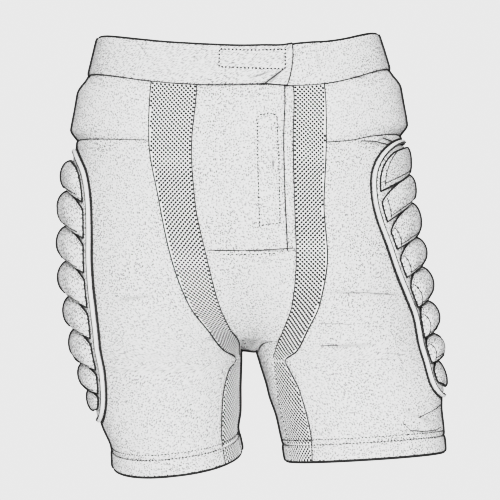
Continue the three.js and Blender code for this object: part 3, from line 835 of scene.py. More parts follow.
def make_waistband():
    """One strip from under the front lap round the body and over its own beginning."""
    lap_start, ramp_start, ramp_end, net_share = 0.45, 3.75, 4.3, 0.2
    lap_end_top, lap_end_bottom, lap_power, proud = 1.03, 0.925, 1.8, 0.6
    lap_rise = band_wall + seat_gap
    # Quarter turns: front, wearer's left, back, wearer's right, and the front again.
    runs = ((lap_start, 14), (1, 62), (2, 52), (3, 62))
    ends = (1, 2, 3, 4)
    marks = [np.linspace(start, end, n)[:-1] for (start, n), end in zip(runs, ends)]
    turns = np.concatenate([*marks, np.linspace(4, 5, 90)])
    rows = edged(0, waist_seam - gap_down, band_height, 1.3)
    columns = []
    for turn in turns:
        quarter, share = int(turn) % 4, turn - int(turn)
        if turn >= 4:
            end = lap_end_top + (lap_end_bottom - lap_end_top) * (rows / waist_seam) ** lap_power
            columns.append(strip_point("front", rows, (turn - 4) * end))
        elif quarter == 0:
            columns.append(strip_point("front", rows, share))
        elif quarter == 2:
            columns.append(strip_point("back", rows, 1 - share))
        else:
            side = "left" if quarter == 1 else "right"
            along = share if side == "left" else 1 - share
            inner, outer, back = (seams[side + s](rows) for s in ("_inner", "_outer", "_back"))
            if along < net_share:
                degrees = inner + (outer - inner) * along / net_share
            else:
                degrees = outer + (back - outer) * (along - net_share) / (1 - net_share)
            columns.append(leg_point(side, rows, degrees))
    points = np.stack(columns, 1)
    lift = proud + lap_rise * smoothstep(turns, ramp_start, ramp_end)
    normal = grid_normals(points, band_outward(points))
    seat = points + normal * lift[None, :, None]
    cloth_piece("waistband_cloth", "waistband", seat, band_outward(seat), wall=band_wall)
    return seat, normal, turns


def make_body():
    fly_edge, facing_start = 0.9, 0.66
    points, across = strip_grid("front", waist_seam, fly_bottom, 0, fly_edge, 84)
    lift = (cloth_wall + seat_gap) * smoothstep(across, 0.25, 0.6)
    seat = points + grid_normals(points, front_way) * lift[None, :, None]
    cloth_piece("fly_cloth", "fly_panel", seat, front_way)
    points, _ = strip_grid("front", waist_seam, fly_bottom, facing_start, 1, 32)
    cloth_piece("fly_facing_cloth", "fly_facing", points, front_way)
    points, _ = strip_grid("front", fly_bottom, gusset_top, 0, 1, 80)
    cloth_piece("front_cloth", "front_panel", points, front_way)
    points, _ = strip_grid("back", waist_seam, gusset_top, 0, 1, 150)
    cloth_piece("seat_cloth", "seat_panel", points, back_way)


def thigh_top(along):
    return gusset_top + (gusset_low - gusset_top) * np.sin(math.pi * along) ** 2


def thigh_point(side, down, along):
    """A point of the inner thigh, at a share of its way from the front seam to the back one."""
    gap = gap_degrees(side, down)
    front = seams[side + "_inner"](down) - gap
    back = seams[side + "_back"](down) - 360 + gap
    alone = np.sin(math.pi * along) ** 2 + 0 * down
    return leg_point(side, down, front + (back - front) * along, alone)


def make_inner_thigh(side):
    tall = hem_seam - gusset_top
    share = edged(5 * gap_down / tall, 1 - gap_down / tall, tall * body_length, grid_step)[:, None]
    along = edged(0, 1, 110, grid_step)[None, :]
    top = thigh_top(along)
    points = thigh_point(side, top + (hem_seam - top) * share, along)
    cloth_piece(
        side + "_inner_thigh_cloth", side + "_inner_thigh_panel", points,
        points - leg_axis(side, points), creased=False,
    )


def make_gusset():
    """The crotch piece, spanned between its four edges."""
    lengthways, sideways = edged(0, 1, 150, grid_step), edged(0, 1, 40, grid_step)
    along, across = lengthways[:, None, None], sideways[None, :, None]

    def end(face):
        nudge = panel_gap * (1 - 2 * sideways)
        return strip_point(face, gusset_top + gap_down, sideways, nudge)[None]

    def edge(side):
        lower = gap_down * (1 - 2 * np.sin(math.pi * lengthways))
        point = thigh_point(side, thigh_top(lengthways) + lower, lengthways)
        point[:, 0] += panel_gap if side == "right" else -panel_gap
        return point[:, None]

    right, left = edge("right"), edge("left")
    points = (
        end("front") * (1 - along) + end("back") * along
        + right * (1 - across) + left * across
        - right[:1] * (1 - along) * (1 - across) - left[:1] * (1 - along) * across
        - right[-1:] * along * (1 - across) - left[-1:] * along * across
    )
    cloth_piece("gusset_cloth", "gusset", points, under_crotch(points), creased=False)


def yoke_rise(rows, across):
    """The yoke's padding swells from its seams to its middle."""
    share = (rows - waist_seam) / (yoke_seam - waist_seam)
    from_top = smoothstep(share, 0, 0.3)
    to_bottom = smoothstep(1 - share, 0, 0.16)
    round_side = 0.15 + 0.85 * np.sin(math.pi * across) ** 0.8
    return yoke_padding * (from_top * to_bottom)[:, None] * round_side[None, :]


def make_leg(side):
    inner, outer, back = (seams[side + s] for s in ("_inner", "_outer", "_back"))
    runs = [(outer, 0), (back, 12)]

    def panel(name, node_name, points, **values):
        outward = points - leg_axis(side, points)
        cloth_piece(side + name, side + node_name, points, outward, **values)

    points, rows, across = leg_grid(side, runs, waist_seam, yoke_seam, 230)
    panel("_yoke_pad", "_yoke", points, rise=yoke_rise(rows, across), pad=True)
    points, _, _ = leg_grid(side, runs, yoke_seam, hem_seam, 230)
    panel("_leg_cloth", "_leg_panel", points)
    runs.append((lambda down: inner(down) + 360, 8))
    points, _, _ = leg_grid(side, runs, hem_seam, 1, 330)
    panel("_hem_cloth", "_hem_band", points, wall=hem_wall, rise=0.4)


# ------------------------------------------------------------------ nets
net_pitch = 4.3
net_hole = 1.17
net_rim = 0.3
net_sink = 0.18
net_thread = 0.32
net_offset = 0.7
net_rows, net_columns = 400, 8
hole_shade_wall = 0.5
hole_shade_gap = 0.12
# How far the holes of each net are pulled, and which way, by share of its length.
front_pulls = ((0, 0.2, 0.28, 0.5, 0.58, 0.75), (0.4, 0.4, -0.6, -0.6, 0.5, 1.0))
thigh_pulls = ((0, 1), (1, 1))
hem_pulls = ((0, 1), (-0.5, -0.5))
# The eight corners of a hole's share of the net, in quarters of the pitch.
cell_corners = ((2, 0), (1, 1), (0, 2), (-1, 1), (-2, 0), (-1, -1), (0, -2), (1, -1))


def net_frame(side, top, bottom):
    """A net's own surface: a grid of its points between its two seams."""
    rows = np.linspace(top + gap_down, bottom - gap_down, net_rows)
    gap = gap_degrees(side, rows)
    start = (seams[side + "_inner"](rows) + gap)[:, None]
    end = (seams[side + "_outer"](rows) - gap)[:, None]
    shares = np.linspace(0, 1, net_columns + 1)
    return leg_point(side, rows[:, None], start + (end - start) * shares)


def hole_corners(side, pull):
    """Eight corners round a hole's middle: a round hole, or a slanted slit where it is pulled."""
    slant = math.pi / 4 if (side == "left") == (pull > 0) else -math.pi / 4
    pull = abs(pull)
    wide, high, square = net_hole + 0.29 * pull, net_hole - 0.15 * pull, 1 - 0.5 * pull
    corners = []
    for k in range(8):
        turn = k * math.pi / 4 - slant
        x, y = (math.copysign(abs(v) ** square, v) for v in (math.cos(turn), math.sin(turn)))
        x, y = x * wide, y * high
        cos, sin = math.cos(slant), math.sin(slant)
        corners.append((x * cos - y * sin, x * sin + y * cos))
    return corners


def net_cells(side, length, width, pulls):
    """The net laid flat: its points, how high each lies, and its faces."""
    half = net_pitch / 2
    spots, flat, height, faces = {}, [], [], []

    def spot(key, s, t, h):
        if key not in spots:
            spots[key] = len(flat)
            flat.append((s, t))
            height.append(h)
        return spots[key]

    for a in range(-1, int(length[-1] / half) + 2):
        for b in range(-1, int(width.max() / half) + 2):
            if (a + b) % 2:
                continue
            s, t = b * half + half * net_offset, a * half + half * net_offset
            wide = float(np.interp(t, length, width))
            if s > wide + half or t > length[-1] + half:
                continue
            outer = [
                spot((2 * b + x, 2 * a + y), s + x * half / 2, t + y * half / 2, 0.0)
                for x, y in cell_corners
            ]
            following = outer[1:] + outer[:1]
            if min(s, wide - s, t, length[-1] - t) > net_hole + net_rim:
                pull = float(np.interp(t / length[-1], *pulls))
                hole = [
                    spot((b, a, k), s + x, t + y, -net_sink)
                    for k, (x, y) in enumerate(hole_corners(side, pull))
                ]
                faces += zip(outer, following, hole[1:] + hole[:1], hole)
            else:
                centre = spot((b, a, "centre"), s, t, 0.0)
                faces += [(one, other, centre) for one, other in zip(outer, following)]
    return np.array(flat), np.array(height), faces


def points_inwards(piece, side):
    """Whether the first faces of a leg's piece look at the leg's middle."""
    total = 0
    for face in piece.data.polygons[:50]:
        centre = np.array(face.center) / MM
        total += np.dot(face.normal, centre - leg_axis(side, centre))
    return total < 0


def make_net(name, node_name, side, top, bottom, pulls):
    """A net with real holes in offset rows, and a thin near-black sheet behind them: painted shade
    seen through the holes.
    """
    surface = net_frame(side, top, bottom)
    across, down = run_lengths(surface)
    width, length = across[:, -1], down[:, net_columns // 2]
    normals = grid_normals(surface, surface - leg_axis(side, surface))
    flat, height, faces = net_cells(side, length, width, pulls)

    # From flat lengths to the garment, kept between the net's edges.
    t = np.clip(flat[:, 1], 0, length[-1])
    wide = np.interp(t, length, width)
    s = np.clip(flat[:, 0], 0, wide)
    row, column = np.interp(t, length, np.arange(net_rows)), s / wide * net_columns
    i = np.clip(row.astype(int), 0, net_rows - 2)
    j = np.clip(column.astype(int), 0, net_columns - 1)
    u, v = (row - i)[:, None], (column - j)[:, None]

    def between(grid):
        return (
            grid[i, j] * (1 - u) * (1 - v) + grid[i + 1, j] * u * (1 - v)
            + grid[i, j + 1] * (1 - u) * v + grid[i + 1, j + 1] * u * v
        )

    points = between(surface) + unit(between(normals)) * height[:, None]
    piece = new_piece(name, points, faces, np.stack([s, t], -1))
    edit_whole(
        piece,
        (bpy.ops.mesh.remove_doubles, {"threshold": 0.00004}),
        (bpy.ops.mesh.dissolve_degenerate, {"threshold": 0.00003}),
        (bpy.ops.mesh.normals_make_consistent, {"inside": False}),
    )
    if points_inwards(piece, side):
        edit_whole(piece, (bpy.ops.mesh.flip_normals, {}))
    wall = piece.modifiers.new("thread", "SOLIDIFY")
    wall.thickness = net_thread * MM
    wall.offset = -1
    bpy.ops.object.modifier_apply(modifier=wall.name)
    bpy.ops.object.shade_smooth_by_angle(angle=math.radians(50))
    piece.select_set(False)
    dress(piece, node_name, net_yarn)
    declare_sheet(surface, across, down)

    # Painted shade: a thin near-black sheet under the net, seen through its holes.
    thin = slice(None, None, 6)
    across, down = across[thin], down[thin]
    base = surface[thin] - normals[thin] * (net_thread + hole_shade_gap)
    under = surface[thin] - normals[thin] * (net_thread + hole_shade_gap + hole_shade_wall)
    hole_shade_piece = slab(name + "_lining", base, under, across, down)
    dress(hole_shade_piece, node_name, net_hole_shade_sheet)
    declare_sheet(base, across, down)


# ------------------------------------------------------------------ the hip pads
outline_steps = 160
rib_pull = {"right": 0.2, "left": 0.34}
first_rib_pull = 0.1
left_first_rise = 5.0


def flat_outline(side, margin):
    """A pad's outline laid flat, moved inwards by a margin: along the leg, then sideways."""
    top, bottom = pad_spans[side]
    length = (bottom - top) * body_length
    k = np.arange(2 * outline_steps)
    front = k < outline_steps
    t = np.where(front, k, 2 * outline_steps - k) / outline_steps
    share = (1 - np.cos(math.pi * t)) / 2
    taper = np.maximum(0, 4 * share * (1 - share)) ** pad_end_power
    before, behind = (pad_outline[side + s](share) for s in ("_front", "_behind"))
    radius = level_at(top + (bottom - top) * share)[side]["half"]
    sideways = np.where(front, -before, behind) * np.radians(taper) * radius
    on = np.stack([share * length, sideways], -1)
    run = np.roll(on, -1, 0) - np.roll(on, 1, 0)
    inward = unit(np.stack([-run[:, 1], run[:, 0]], -1))
    return on + inward * margin


def pad_place(side, along, sideways, rise):
    """From a pad laid flat to the leg."""
    down = pad_spans[side][0] + along / body_length
    radius = level_at(down)[side]["half"]
    return leg_at(side, down, 180 + np.degrees(sideways / radius), rise)


def reach_at(outline, along, share):
    """How far the outline reaches at these lengths: to the front for a share below 0."""
    half = len(outline) // 2
    front = outline[: half + 1]
    behind = np.concatenate([outline[:1], outline[: half - 1 : -1]])
    reaches = []
    for line in (front, behind):
        order = np.argsort(line[:, 0], kind="stable")
        reaches.append(np.interp(along, line[order, 0], np.abs(line[order, 1])))
    return np.where(share < 0, *reaches)


def path_lengths(path):
    return np.concatenate([[0], np.cumsum(np.linalg.norm(np.diff(path, axis=0), axis=1))])


def at_lengths(marks, lengths, values):
    return np.stack([np.interp(marks, lengths, column) for column in values.T], -1)


def even_steps(outline, count):
    closed = np.concatenate([outline, outline[:1]])
    lengths = path_lengths(closed)
    return at_lengths(np.arange(count) / count * lengths[-1], lengths, closed)


def make_pad_backing(side):
    rows = np.linspace(0.05, 0.955, 70)
    rounds = np.linspace(-1, 1, 40)[None]
    outline = flat_outline(side, piping_width / 2 + 1.1)
    first, last = outline[:, 0].min(), outline[:, 0].max()
    along = (first + (last - first) * (1 - np.cos(math.pi * rows)) / 2)[:, None]
    sideways = rounds * reach_at(outline, along + 0 * rounds, rounds)
    seat, normal = pad_place(side, along + 0 * sideways, sideways, seat_gap)
    across, down = run_lengths(seat)
    top = backing_wall - 1.2 * bell(edge_distance(across, down), 2) + 0.3 * slack(seat)
    piece = slab(side + "_pad_cloth", seat + normal * top[..., None], seat, across, down)
    dress(piece, side + "_pad_backing", padding)


def ring_faces(count, sides):
    """Faces of a closed ring of tube, from stations that are closed rows of points."""
    i, j = np.meshgrid(np.arange(count), np.arange(sides), indexing="ij")
    here, there = i * sides, (i + 1) % count * sides
    on = (j + 1) % sides
    return np.stack([here + j, here + on, there + on, there + j], -1).reshape(-1, 4)


def make_piping(side):
    count, sides = 260, 14
    path = even_steps(flat_outline(side, piping_shift), count)
    on, up = pad_place(side, path[:, 0], path[:, 1], seat_gap + piping_height / 2)
    along = unit(np.roll(on, -1, 0) - np.roll(on, 1, 0))
    sideways = unit(np.cross(along, up))
    turn = 2 * math.pi * np.arange(sides) / sides
    rings = (
        on[:, None]
        + sideways[:, None] * (piping_width / 2 * np.cos(turn))[None, :, None]
        + up[:, None] * (piping_height / 2 * np.sin(turn))[None, :, None]
    )
    uv = np.stack(np.broadcast_arrays(turn[None] * 3, np.arange(count)[:, None] * 2.0), -1)
    faces = ring_faces(count, sides)
    piece = closed_piece(side + "_piping_tape", rings.reshape(-1, 3), faces, uv.reshape(-1, 2))
    dress(piece, side + "_piping", piping_cloth)


rib_base = seat_gap + backing_wall + rib_seat
rib_outlines = {side: flat_outline(side, piping_margin - 0.6) for side in ("right", "left")}


def rib_edge_at(side, k, round_share):
    top, bottom = pad_spans[side]
    droop = rib_droop * rib_rows[side + "_droop"](k) * np.abs(round_share) ** 1.7
    return rib_rows[side + "_start"](k) * (bottom - top) * body_length + droop


def rib_place(side, number, across, round_share, rise):
    """A point of a rib, from -1 to 1 across it and from -1 to 1 round the leg."""
    low = rib_edge_at(side, number, round_share) + rib_gap / 2
    high = rib_edge_at(side, number + 1, round_share) - rib_gap / 2
    if side == "left" and number == 0:
        low = low - left_first_rise
    tuck = np.clip((np.abs(round_share) - 0.45) / 0.55, 0, 1) ** 3
    low = low + (rib_pull[side] if number else first_rib_pull) * (high - low) * tuck
    along = low + (high - low) * (across + 1) / 2
    reach = reach_at(rib_outlines[side], along, round_share)
    return pad_place(side, along, round_share * reach, rise)


def make_rib(side, number):
    """One foam rib: a full arch under cloth, tight at its sewn edges, with a soft lower lip."""
    quarter = math.pi / 2
    q = np.sin(np.linspace(-quarter, quarter, 25))
    r = np.sin(np.linspace(-quarter, quarter, 71) * 0.999)
    q, r = np.meshgrid(q, r, indexing="ij")
    fullest = 1.0 + rib_height * float(rib_rows[side + "_rise"](number))
    dome = np.sqrt(np.maximum(0, 1 - q**2))
    ends = np.sqrt(np.maximum(0, 1 - np.maximum(0, (np.abs(r) - 0.8) / 0.2) ** 2))
    thin = 1 - 0.35 * r * r
    pucker = 0.05 * np.sin(r * 31 + number * 2.1) * q**2 + 0.03 * np.sin(r * 17 + number + q * 2)
    lip = 0.075 * bell(q - 0.66, 0.07) * bell(np.abs(r) - 0.55, 0.4)
    rise = rib_edge + (fullest - rib_edge) * dome * ends * thin * (1 + pucker - lip)
    outer, _ = rib_place(side, number, q, r, rib_base + rise)
    inner, _ = rib_place(side, number, q, r, rib_base)
    name = f"{side}_rib_pad_{number + 1}"
    outer_grids[name] = outer
    piece = slab(name, outer, inner, *run_lengths(outer))
    dress(piece, f"{side}_rib_{number + 1}", rib_cloth)


# ------------------------------------------------------------------ seams and stitches
def tube(path, up, radius, sides=6, closed=False):
    """Points and faces of a thread laid along a path."""
    if closed:
        along = unit(np.roll(path, -1, 0) - np.roll(path, 1, 0))
    else:
        along = unit(np.gradient(path, axis=0))
    sideways = unit(np.cross(along, up))
    lift = np.cross(sideways, along)
    turn = 2 * math.pi * np.arange(sides) / sides
    rings = (
        path[:, None]
        + sideways[:, None] * (radius * np.cos(turn))[None, :, None]
        + lift[:, None] * (radius * np.sin(turn))[None, :, None]
    )
    count = len(path)
    if closed:
        return rings.reshape(-1, 3), ring_faces(count, sides).tolist()
    faces = grid_faces(count, sides, wrap=True).tolist()
    faces.append(list(range(sides - 1, -1, -1)))
    faces.append([(count - 1) * sides + k for k in range(sides)])
    return rings.reshape(-1, 3), faces


def gathered(parts):
    """Points and faces of many parts as one."""
    points, faces, offset = [], [], 0
    for part_points, part_faces in parts:
        points.append(part_points)
        faces += [tuple(i + offset for i in face) for face in part_faces]
        offset += len(part_points)
    return np.concatenate(points), faces


def joined(name, parts, material):
    """Many threads as one piece, with their faces turned outwards."""
    piece = new_piece(name, *gathered(parts))
    smooth(piece)
    piece.data.materials.append(material)
    edit_whole(piece, (bpy.ops.mesh.normals_make_consistent, {"inside": False}))
    piece.select_set(False)
    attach(piece, "root")


def one_stitch():
    """A sewn stitch, modelled once: a short thread with sunk, rounded ends."""
    bpy.ops.mesh.primitive_uv_sphere_add(segments=6, ring_count=5, radius=0.5)
    stitch = bpy.context.object
    turn = {"value": math.pi / 2, "orient_axis": "Y", "center_override": (0, 0, 0)}
    edit_whole(stitch, (bpy.ops.transform.rotate, turn))
    points = np.array([v.co for v in stitch.data.vertices])
    faces = [tuple(p.vertices) for p in stitch.data.polygons]
    bpy.data.objects.remove(stitch)
    return points, faces


stitch_points, stitch_faces = one_stitch()


def stitch_row(path, up, pitch, long, thick):
    """Stitches one after the other along a path."""
    lengths = path_lengths(path)
    count = max(1, int(lengths[-1] / pitch))
    marks = (np.arange(count) + 0.5) * lengths[-1] / count
    ahead = at_lengths(np.minimum(marks + 0.5, lengths[-1]), lengths, path)
    behind = at_lengths(np.maximum(marks - 0.5, 0), lengths, path)
    along = unit(ahead - behind)
    ups = unit(at_lengths(marks, lengths, up))
    sideways = unit(np.cross(along, ups))
    parts = []
    for place, forward, aside, lift in zip(at_lengths(marks, lengths, path), along, sideways, ups):
        shaped = (
            stitch_points[:, :1] * forward * long
            + stitch_points[:, 1:2] * aside * thick
            + stitch_points[:, 2:] * lift * thick * 0.7
        )
        parts.append((place + shaped, stitch_faces))
    return parts


# Sideways places that the dark outline cords of painted shade are measured from.
outline_middles = {"waistband": 0.0, "right": -70.0, "left": 80.0}


def turning_line(name, towards, first=0.0, last=1.0, crosswise=False, calm=25, lift=0.95):
    """Where a panel turns away from the front, smoothed along its rows, for a dark cord of painted
    shade along its outline.
    """
    points = outer_grids[name]
    normal = grid_normals(points, towards(points))
    if crosswise:
        points, normal = np.swapaxes(points, 0, 1), np.swapaxes(normal, 0, 1)
    rows, columns = points.shape[:2]
    facing = np.sum(normal * (eye - points), -1)
    start, end = int(first * (columns - 1)), int(last * (columns - 1))
    kept, places = [], []
    for i in range(rows):
        line = facing[i, start : end + 1]
        turns = np.nonzero(line[:-1] * line[1:] < 0)[0]
        if not len(turns):
            continue
        if crosswise:
            reach = -points[i, start + turns, 2]
        else:
            reach = np.abs(points[i, start + turns, 0] - outline_middles[name.split("_")[0]])
        j = turns[int(np.argmax(reach))]
        kept.append(i)
        places.append(start + j + line[j] / (line[j] - line[j + 1]))
    kept, places = np.array(kept), np.array(places)
    for _ in range(calm):
        before = np.concatenate([2 * places[:1] - places[1:2], places[:-1]])
        after = np.concatenate([places[1:], 2 * places[-1:] - places[-2:-1]])
        places = (before + 2 * places + after) / 4
    j = np.clip(places.astype(int), 0, columns - 2)
    t = np.clip(places - j, 0, 1)[:, None]
    path = points[kept, j] * (1 - t) + points[kept, j + 1] * t
    ups = unit(normal[kept, j] * (1 - t) + normal[kept, j + 1] * t)
    return path + ups * lift, ups


def tree_of(*names):
    """The named pieces as one mesh that rays can be cast at."""
    meshes = [bpy.data.objects[name].data for name in names]
    return BVHTree.FromPolygons(
        *gathered(
            (np.array([v.co for v in mesh.vertices]), [p.vertices for p in mesh.polygons])
            for mesh in meshes
        )
    )


def drawn_line(tree, marks, rise):
    """A line of the picture laid on the garment's front: its points and outward directions."""
    marks = np.array(marks, float)
    lengths = path_lengths(marks)
    at = np.linspace(0, lengths[-1], max(2, int(lengths[-1])))
    path, ups = [], []
    for right, down in at_lengths(at, lengths, marks):
        way = Vector(((right - centre_px[0]) / focal_px, 1.0, -(down - centre_px[1]) / focal_px))
        hit, normal, _, _ = tree.ray_cast(Vector(eye * MM), way.normalized())
        if hit is None:
            continue
        normal = np.array(-normal if normal.y > 0 else normal)
        path.append(np.array(hit) / MM + normal * rise)
        ups.append(normal)
    ups = np.array(ups)
    if len(ups) > 4:
        wider = np.concatenate([ups[:1], ups[:1], ups, ups[-1:], ups[-1:]])
        ups = unit(sum(wider[k : k + len(ups)] for k in range(5)))
    return np.array(path), ups


# ------------------------------------------------------------------ build
band_seat, band_normal, band_turns = make_waistband()
make_body()
make_gusset()
for side in ("right", "left"):
    make_leg(side)
    make_inner_thigh(side)
    for part, node_part, top, bottom, pulls in (
        ("_front_net_mesh", "_front_net", waist_seam, net_pinch, front_pulls),
        ("_thigh_net_mesh", "_thigh_net", net_pinch, hem_seam, thigh_pulls),
        ("_hem_net_mesh", "_net_hem", hem_seam, 1, hem_pulls),
    ):
        make_net(side + part, side + node_part, side, top, bottom, pulls)
    make_pad_backing(side)
    make_piping(side)
    for number in range(ribs_per_pad):
        make_rib(side, number)

bold, fine, soft, dashes = [], [], [], []
top_edge_radius, hem_edge_radius = 1.35, 1.4
cord_radius, rib_cord_radius, rib_side_radius = 1.15, 0.85, 0.9
inner_cord_top = -327
# Shares of a rib's width and length where its lip line and its front line, both lines of painted
# shade, run.
lip_row, line_start, line_end = 0.73, 0.12, 0.88
front_line_start, front_line_end = 0.14, 0.84

# The bound top edge of the waistband, its lap's end and its lower seam.
top_edge = band_seat[0] - band_normal[0] * (band_wall / 2)
bold.append(tube(top_edge + [0, 0, 0.1], band_normal[0], top_edge_radius, sides=8))
soft.append(tube(band_seat[:, -1] + band_normal[:, -1] * 0.1, band_normal[:, -1], 0.5))
fine.append(tube(band_seat[-1] - band_normal[-1] * 0.2, band_normal[-1], 0.46))


def seam_threads(side):
    """The threads and stitches of one leg's seams and hem."""
    inner, outer, back = (seams[side + s] for s in ("_inner", "_outer", "_back"))
    path, up = leg_at(side, 1.0, np.linspace(0, 360, 181)[:-1], 0.7 - hem_wall / 2)
    bold.append(tube(path - [0, 0, 0.2], up, hem_edge_radius, sides=8, closed=True))
    for edge, radius in ((inner, 0.5), (outer, 0.62)):
        for low, high in ((waist_seam, net_pinch - 0.01), (net_pinch + 0.01, 1.0)):
            down = np.linspace(low, high, 220)
            path, up = leg_at(side, down, edge(down))
            dashes.extend(stitch_row(path, up, pitch=2.6, long=2.0, thick=1.2))
            if low == waist_seam:
                fine.append(tube(path, up, radius))
    share = np.linspace(0, 1, 120)
    down = np.full(120, yoke_seam)
    path, up = leg_at(side, down, outer(down) + (back(down) - outer(down)) * share, -0.35)
    if side == "left":
        fine.append(tube(path, up, 0.42))
    else:
        soft.append(tube(path, up, 0.35))
    down = np.linspace(waist_seam, 1.0, 260)
    path, up = leg_at(side, down, back(down), -0.3)
    fine.append(tube(path, up, 0.5))
    for lower in (0.0, -0.0115):
        path, up = leg_at(side, hem_seam + lower, np.linspace(0, 360, 200), 0.35)
        dashes.extend(stitch_row(path, up, pitch=3.4, long=2.1, thick=1.15))


def pad_threads(side):
    """The threads on both sides of the piping and on it, and the cord round each rib."""
    for margin, rise, radius, threads in (
        (piping_shift - piping_width / 2 - 0.4, 0.6, 1.0, bold),
        (piping_shift + 0.5, seat_gap + piping_height + 0.1, 0.42, fine),
        (piping_shift + piping_width / 2 - 0.1, 4.3, 0.42, fine),
    ):
        path = even_steps(flat_outline(side, margin), 220)
        on, up = pad_place(side, path[:, 0], path[:, 1], rise)
        threads.append(tube(on, up, radius, closed=True))
    long, short = np.linspace(-1, 1, 60), np.linspace(-1, 1, 14)
    q = np.concatenate([-np.ones(60), short[1:], np.ones(59), short[::-1][1:-1]]) * 1.03
    r = np.concatenate([long, np.ones(13), long[::-1][1:], -np.ones(12)]) * 0.999
    for number in range(ribs_per_pad):
        on, up = rib_place(side, number, q, r, rib_base + 1.0)
        bold.append(tube(on, up, rib_cord_radius, closed=True))


def outline_shade_cords(side, start, end):
    """Dark cords of painted shade where each panel of one side turns away from the front, along
    its outline seen from there.
    """

    def from_leg(points):
        return points - leg_axis(side, points)

    first, last = (float(np.searchsorted(band_turns, t) / len(band_turns)) for t in (start, end))
    path, up = turning_line("waistband_cloth", band_outward, first, last)
    bold.append(tube(path, up, cord_radius))
    for part, first, last in (
        ("_yoke_pad", 0.2, 0.55),
        ("_leg_cloth", 0.2, 0.55),
        ("_hem_cloth", 0.15, 0.42),
        ("_inner_thigh_cloth", 0.0, 1.0),
        ("_hem_cloth", 0.6, 1.0),
    ):
        path, up = turning_line(side + part, from_leg, first, last)
        if part == "_inner_thigh_cloth":
            low = path[:, 2] < inner_cord_top
            path, up = path[low], up[low]
        bold.append(tube(path, up, cord_radius))
    for number in range(ribs_per_pad):
        name = f"{side}_rib_pad_{number + 1}"
        # Painted shade: a dark cord along the rib's outline seen from the front.
        path, up = turning_line(name, from_leg, 0.05, 0.95, calm=1, lift=0.75)
        bold.append(tube(path, up, rib_side_radius))
        if number == ribs_per_pad - 1:
            continue
        # The lip line low on the rib, and on the wearer's left a line near its front end: grey
        # lines of painted shade where the rib's lit face meets its shaded side.
        points = outer_grids[name]
        normal = grid_normals(points, from_leg(points))
        rows, columns = points.shape[:2]
        row = int(round(lip_row * (rows - 1)))
        keep = slice(int(line_start * columns), int(line_end * columns))
        soft.append(tube(points[row, keep], normal[row, keep], 0.45))
        if side == "left":
            front_first = points[0, 0, 1] < points[0, -1, 1]
            column = int((line_start if front_first else line_end) * columns)
            keep = slice(int(front_line_start * rows), int(front_line_end * rows))
            soft.append(tube(points[keep, column], normal[keep, column], 0.5))


for side, start, end in (("right", 3.05, 3.75), ("left", 1.25, 1.95)):
    seam_threads(side)
    pad_threads(side)
    outline_shade_cords(side, start, end)
# Painted shade: a dark cord along the gusset's outline seen from the front.
bold.append(tube(*turning_line("gusset_cloth", under_crotch, crosswise=True), cord_radius))

# Stitches on the waist tab and the fly, as lines of the picture.
front = tree_of("waistband_cloth", "fly_cloth", "fly_facing_cloth", "front_cloth")
tab = [(219.5, 49), (252, 50.2), (285.5, 49.4), (285, 69), (252, 68), (219, 66.6), (219.5, 49)]
fly_box = [
    (257, 118), (260, 114.5), (273, 113.5), (277, 117), (279, 170),
    (280, 223), (259.5, 225.5), (258, 170), (257, 118),
]
fly_end = [(222, 254.5), (250, 254.8), (276, 253)]
for marks, rise, pitch, long, thick in (
    (tab, 0.3, 3.7, 2.2, 1.7),
    (fly_box, 0.25, 3.4, 2.1, 1.4),
    (fly_end, 0.25, 3.8, 2.2, 1.3),
):
    dashes += stitch_row(*drawn_line(front, marks, rise), pitch, long, thick)
down = np.linspace(waist_seam, fly_bottom, 160)
soft.append(tube(*strip_at("front", down, 0.9, cloth_wall + seat_gap - 0.2), 0.55))
fly_seam = [(206.5, 250.4), (240, 250.6), (262, 250.0), (288, 248.4), (293, 248.0)]
soft.append(tube(*drawn_line(front, fly_seam, 0.15), 0.55))

# Dark lines of painted shade in the gathers that the yoke's seam takes up above the wearer's left
# pad.
left_leg = tree_of("left_leg_cloth", "left_yoke_pad")
for marks in (
    [(382.5, 137.8), (389, 140.2), (396.5, 143.4)],
    [(361, 140.9), (375, 141.2), (389.5, 145.0)],
):
    fine.append(tube(*drawn_line(left_leg, marks, 0.1), 0.45))
# Grey lines of painted shade in drawn-in folds of the same leg: below the pad, above the hem and
# across the thigh.
for marks, radius in (
    ([(440, 405), (436.5, 408.5), (430, 412), (419, 417.5)], 0.42),
    ([(441, 427), (436, 430), (424, 431.5), (411, 430.5), (403, 423)], 0.34),
    ([(320, 345.7), (338, 345.4)], 0.38),
    ([(320, 323.4), (334, 323.8), (352, 324.4)], 0.26),
    ([(343, 293.2), (368, 292.6), (395, 295)], 0.2),
):
    soft.append(tube(*drawn_line(left_leg, marks, 0.05), radius))

# Real seams, binding and stitching, joined with the dark and grey lines of painted shade along
# outlines, gathers, folds and ribs.
for name, threads, material in (
    ("soft_seam_thread", soft, grey_thread_and_shade),
    ("edge_binding", bold, dark_thread_and_shade),
    ("seam_thread", fine, dark_thread_and_shade),
    ("stitching", dashes, grey_thread_and_shade),
):
    joined(name, threads, material)

# ------------------------------------------------------------------ stage, lights, camera
scene = bpy.context.scene
bpy.ops.mesh.primitive_circle_add(
    vertices=96, radius=0.85, fill_type="NGON", location=(0, 0, -0.62)
)
floor = bpy.context.object
floor.name = "floor"
bpy.ops.object.transform_apply(location=True, rotation=True, scale=True)
floor_paint, nodes, links, shader, place = new_material("floor_paint")
tone = blend(nodes, links, noise(nodes, links, place, 3.0, 2.0), grey(0.79), grey(0.81))
links.new(tone.outputs["Result"], shader.inputs["Base Color"])
shader.inputs["Roughness"].default_value = 0.9
floor.data.materials.append(floor_paint)
floor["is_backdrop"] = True
floor.select_set(False)

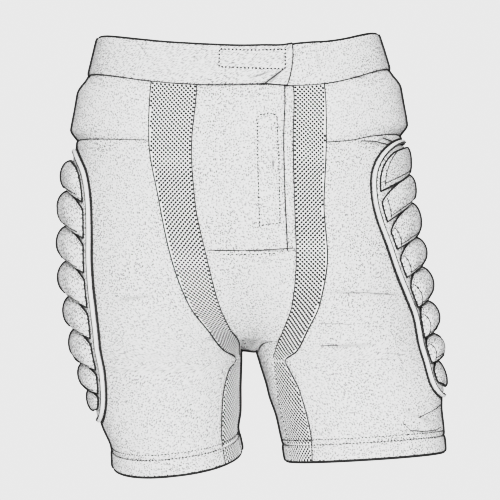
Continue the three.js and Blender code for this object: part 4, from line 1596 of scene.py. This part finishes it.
# The camera sees a pale backdrop, and the garment gets a dimmer light from all round.
world = bpy.data.worlds.new("studio")
scene.world = world
world.use_nodes = True
nodes, links = world.node_tree.nodes, world.node_tree.links
backdrop = nodes["Background"]
backdrop.inputs["Color"].default_value = grey(0.811)
fill = node(nodes, "Background", Color=grey(0.12))
mixer = node(nodes, "MixShader")
ray = node(nodes, "LightPath")
links.new(ray.outputs["Is Camera Ray"], mixer.inputs["Fac"])
links.new(fill.outputs["Background"], mixer.inputs[1])
links.new(backdrop.outputs["Background"], mixer.inputs[2])
links.new(mixer.outputs["Shader"], nodes["World Output"].inputs["Surface"])


def softbox(name, place, aim, size, watts):
    light = bpy.data.lights.new(name, "AREA")
    light.shape = "SQUARE"
    light.size = size
    light.energy = watts
    lamp = bpy.data.objects.new(name, light)
    lamp.location = place
    lamp.rotation_euler = (Vector(aim) - Vector(place)).to_track_quat("-Z", "Y").to_euler()
    lamp.visible_camera = False
    scene.collection.objects.link(lamp)


middle = (0, 0, -0.23)
softbox("front_softbox", (0.0, -2.6, 0.25), middle, 1.2, 48)
softbox("back_softbox", (0.0, 2.6, 0.3), middle, 1.2, 38)
softbox("right_softbox", (-2.4, 0.0, 0.4), middle, 1.2, 4)
softbox("left_softbox", (2.4, 0.0, 0.4), middle, 1.2, 4)
softbox("top_softbox", (0.0, -0.4, 2.2), middle, 1.4, 8)
softbox("low_softbox", (0.0, -1.3, -1.3), (0, 0, -0.35), 0.8, 3)

lens = bpy.data.cameras.new("camera")
lens.sensor_width = 36
lens.lens = focal_px * lens.sensor_width / picture_px
lens.shift_x = (picture_px / 2 - centre_px[0]) / picture_px
camera = bpy.data.objects.new("camera", lens)
camera.location = Vector(eye * MM)
camera.rotation_euler = (math.pi / 2, 0, 0)
scene.collection.objects.link(camera)
scene.camera = camera
scene.view_settings.view_transform = "Standard"
scene.view_settings.look = "None"
scene.view_settings.use_curve_mapping = True
tone_curve = scene.view_settings.curve_mapping
for dark, shown in ((0.08, 0.07), (0.25, 0.45), (0.45, 0.7), (0.7, 0.79)):
    tone_curve.curves[3].points.new(dark, shown)
tone_curve.curves[3].points[-1].location = (1.0, 0.85)
tone_curve.update()

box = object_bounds()
as_lists = lambda corners: [[float(v) for v in corner] for corner in corners]
{"cad": as_lists(cad_box), "visual": as_lists(box)}
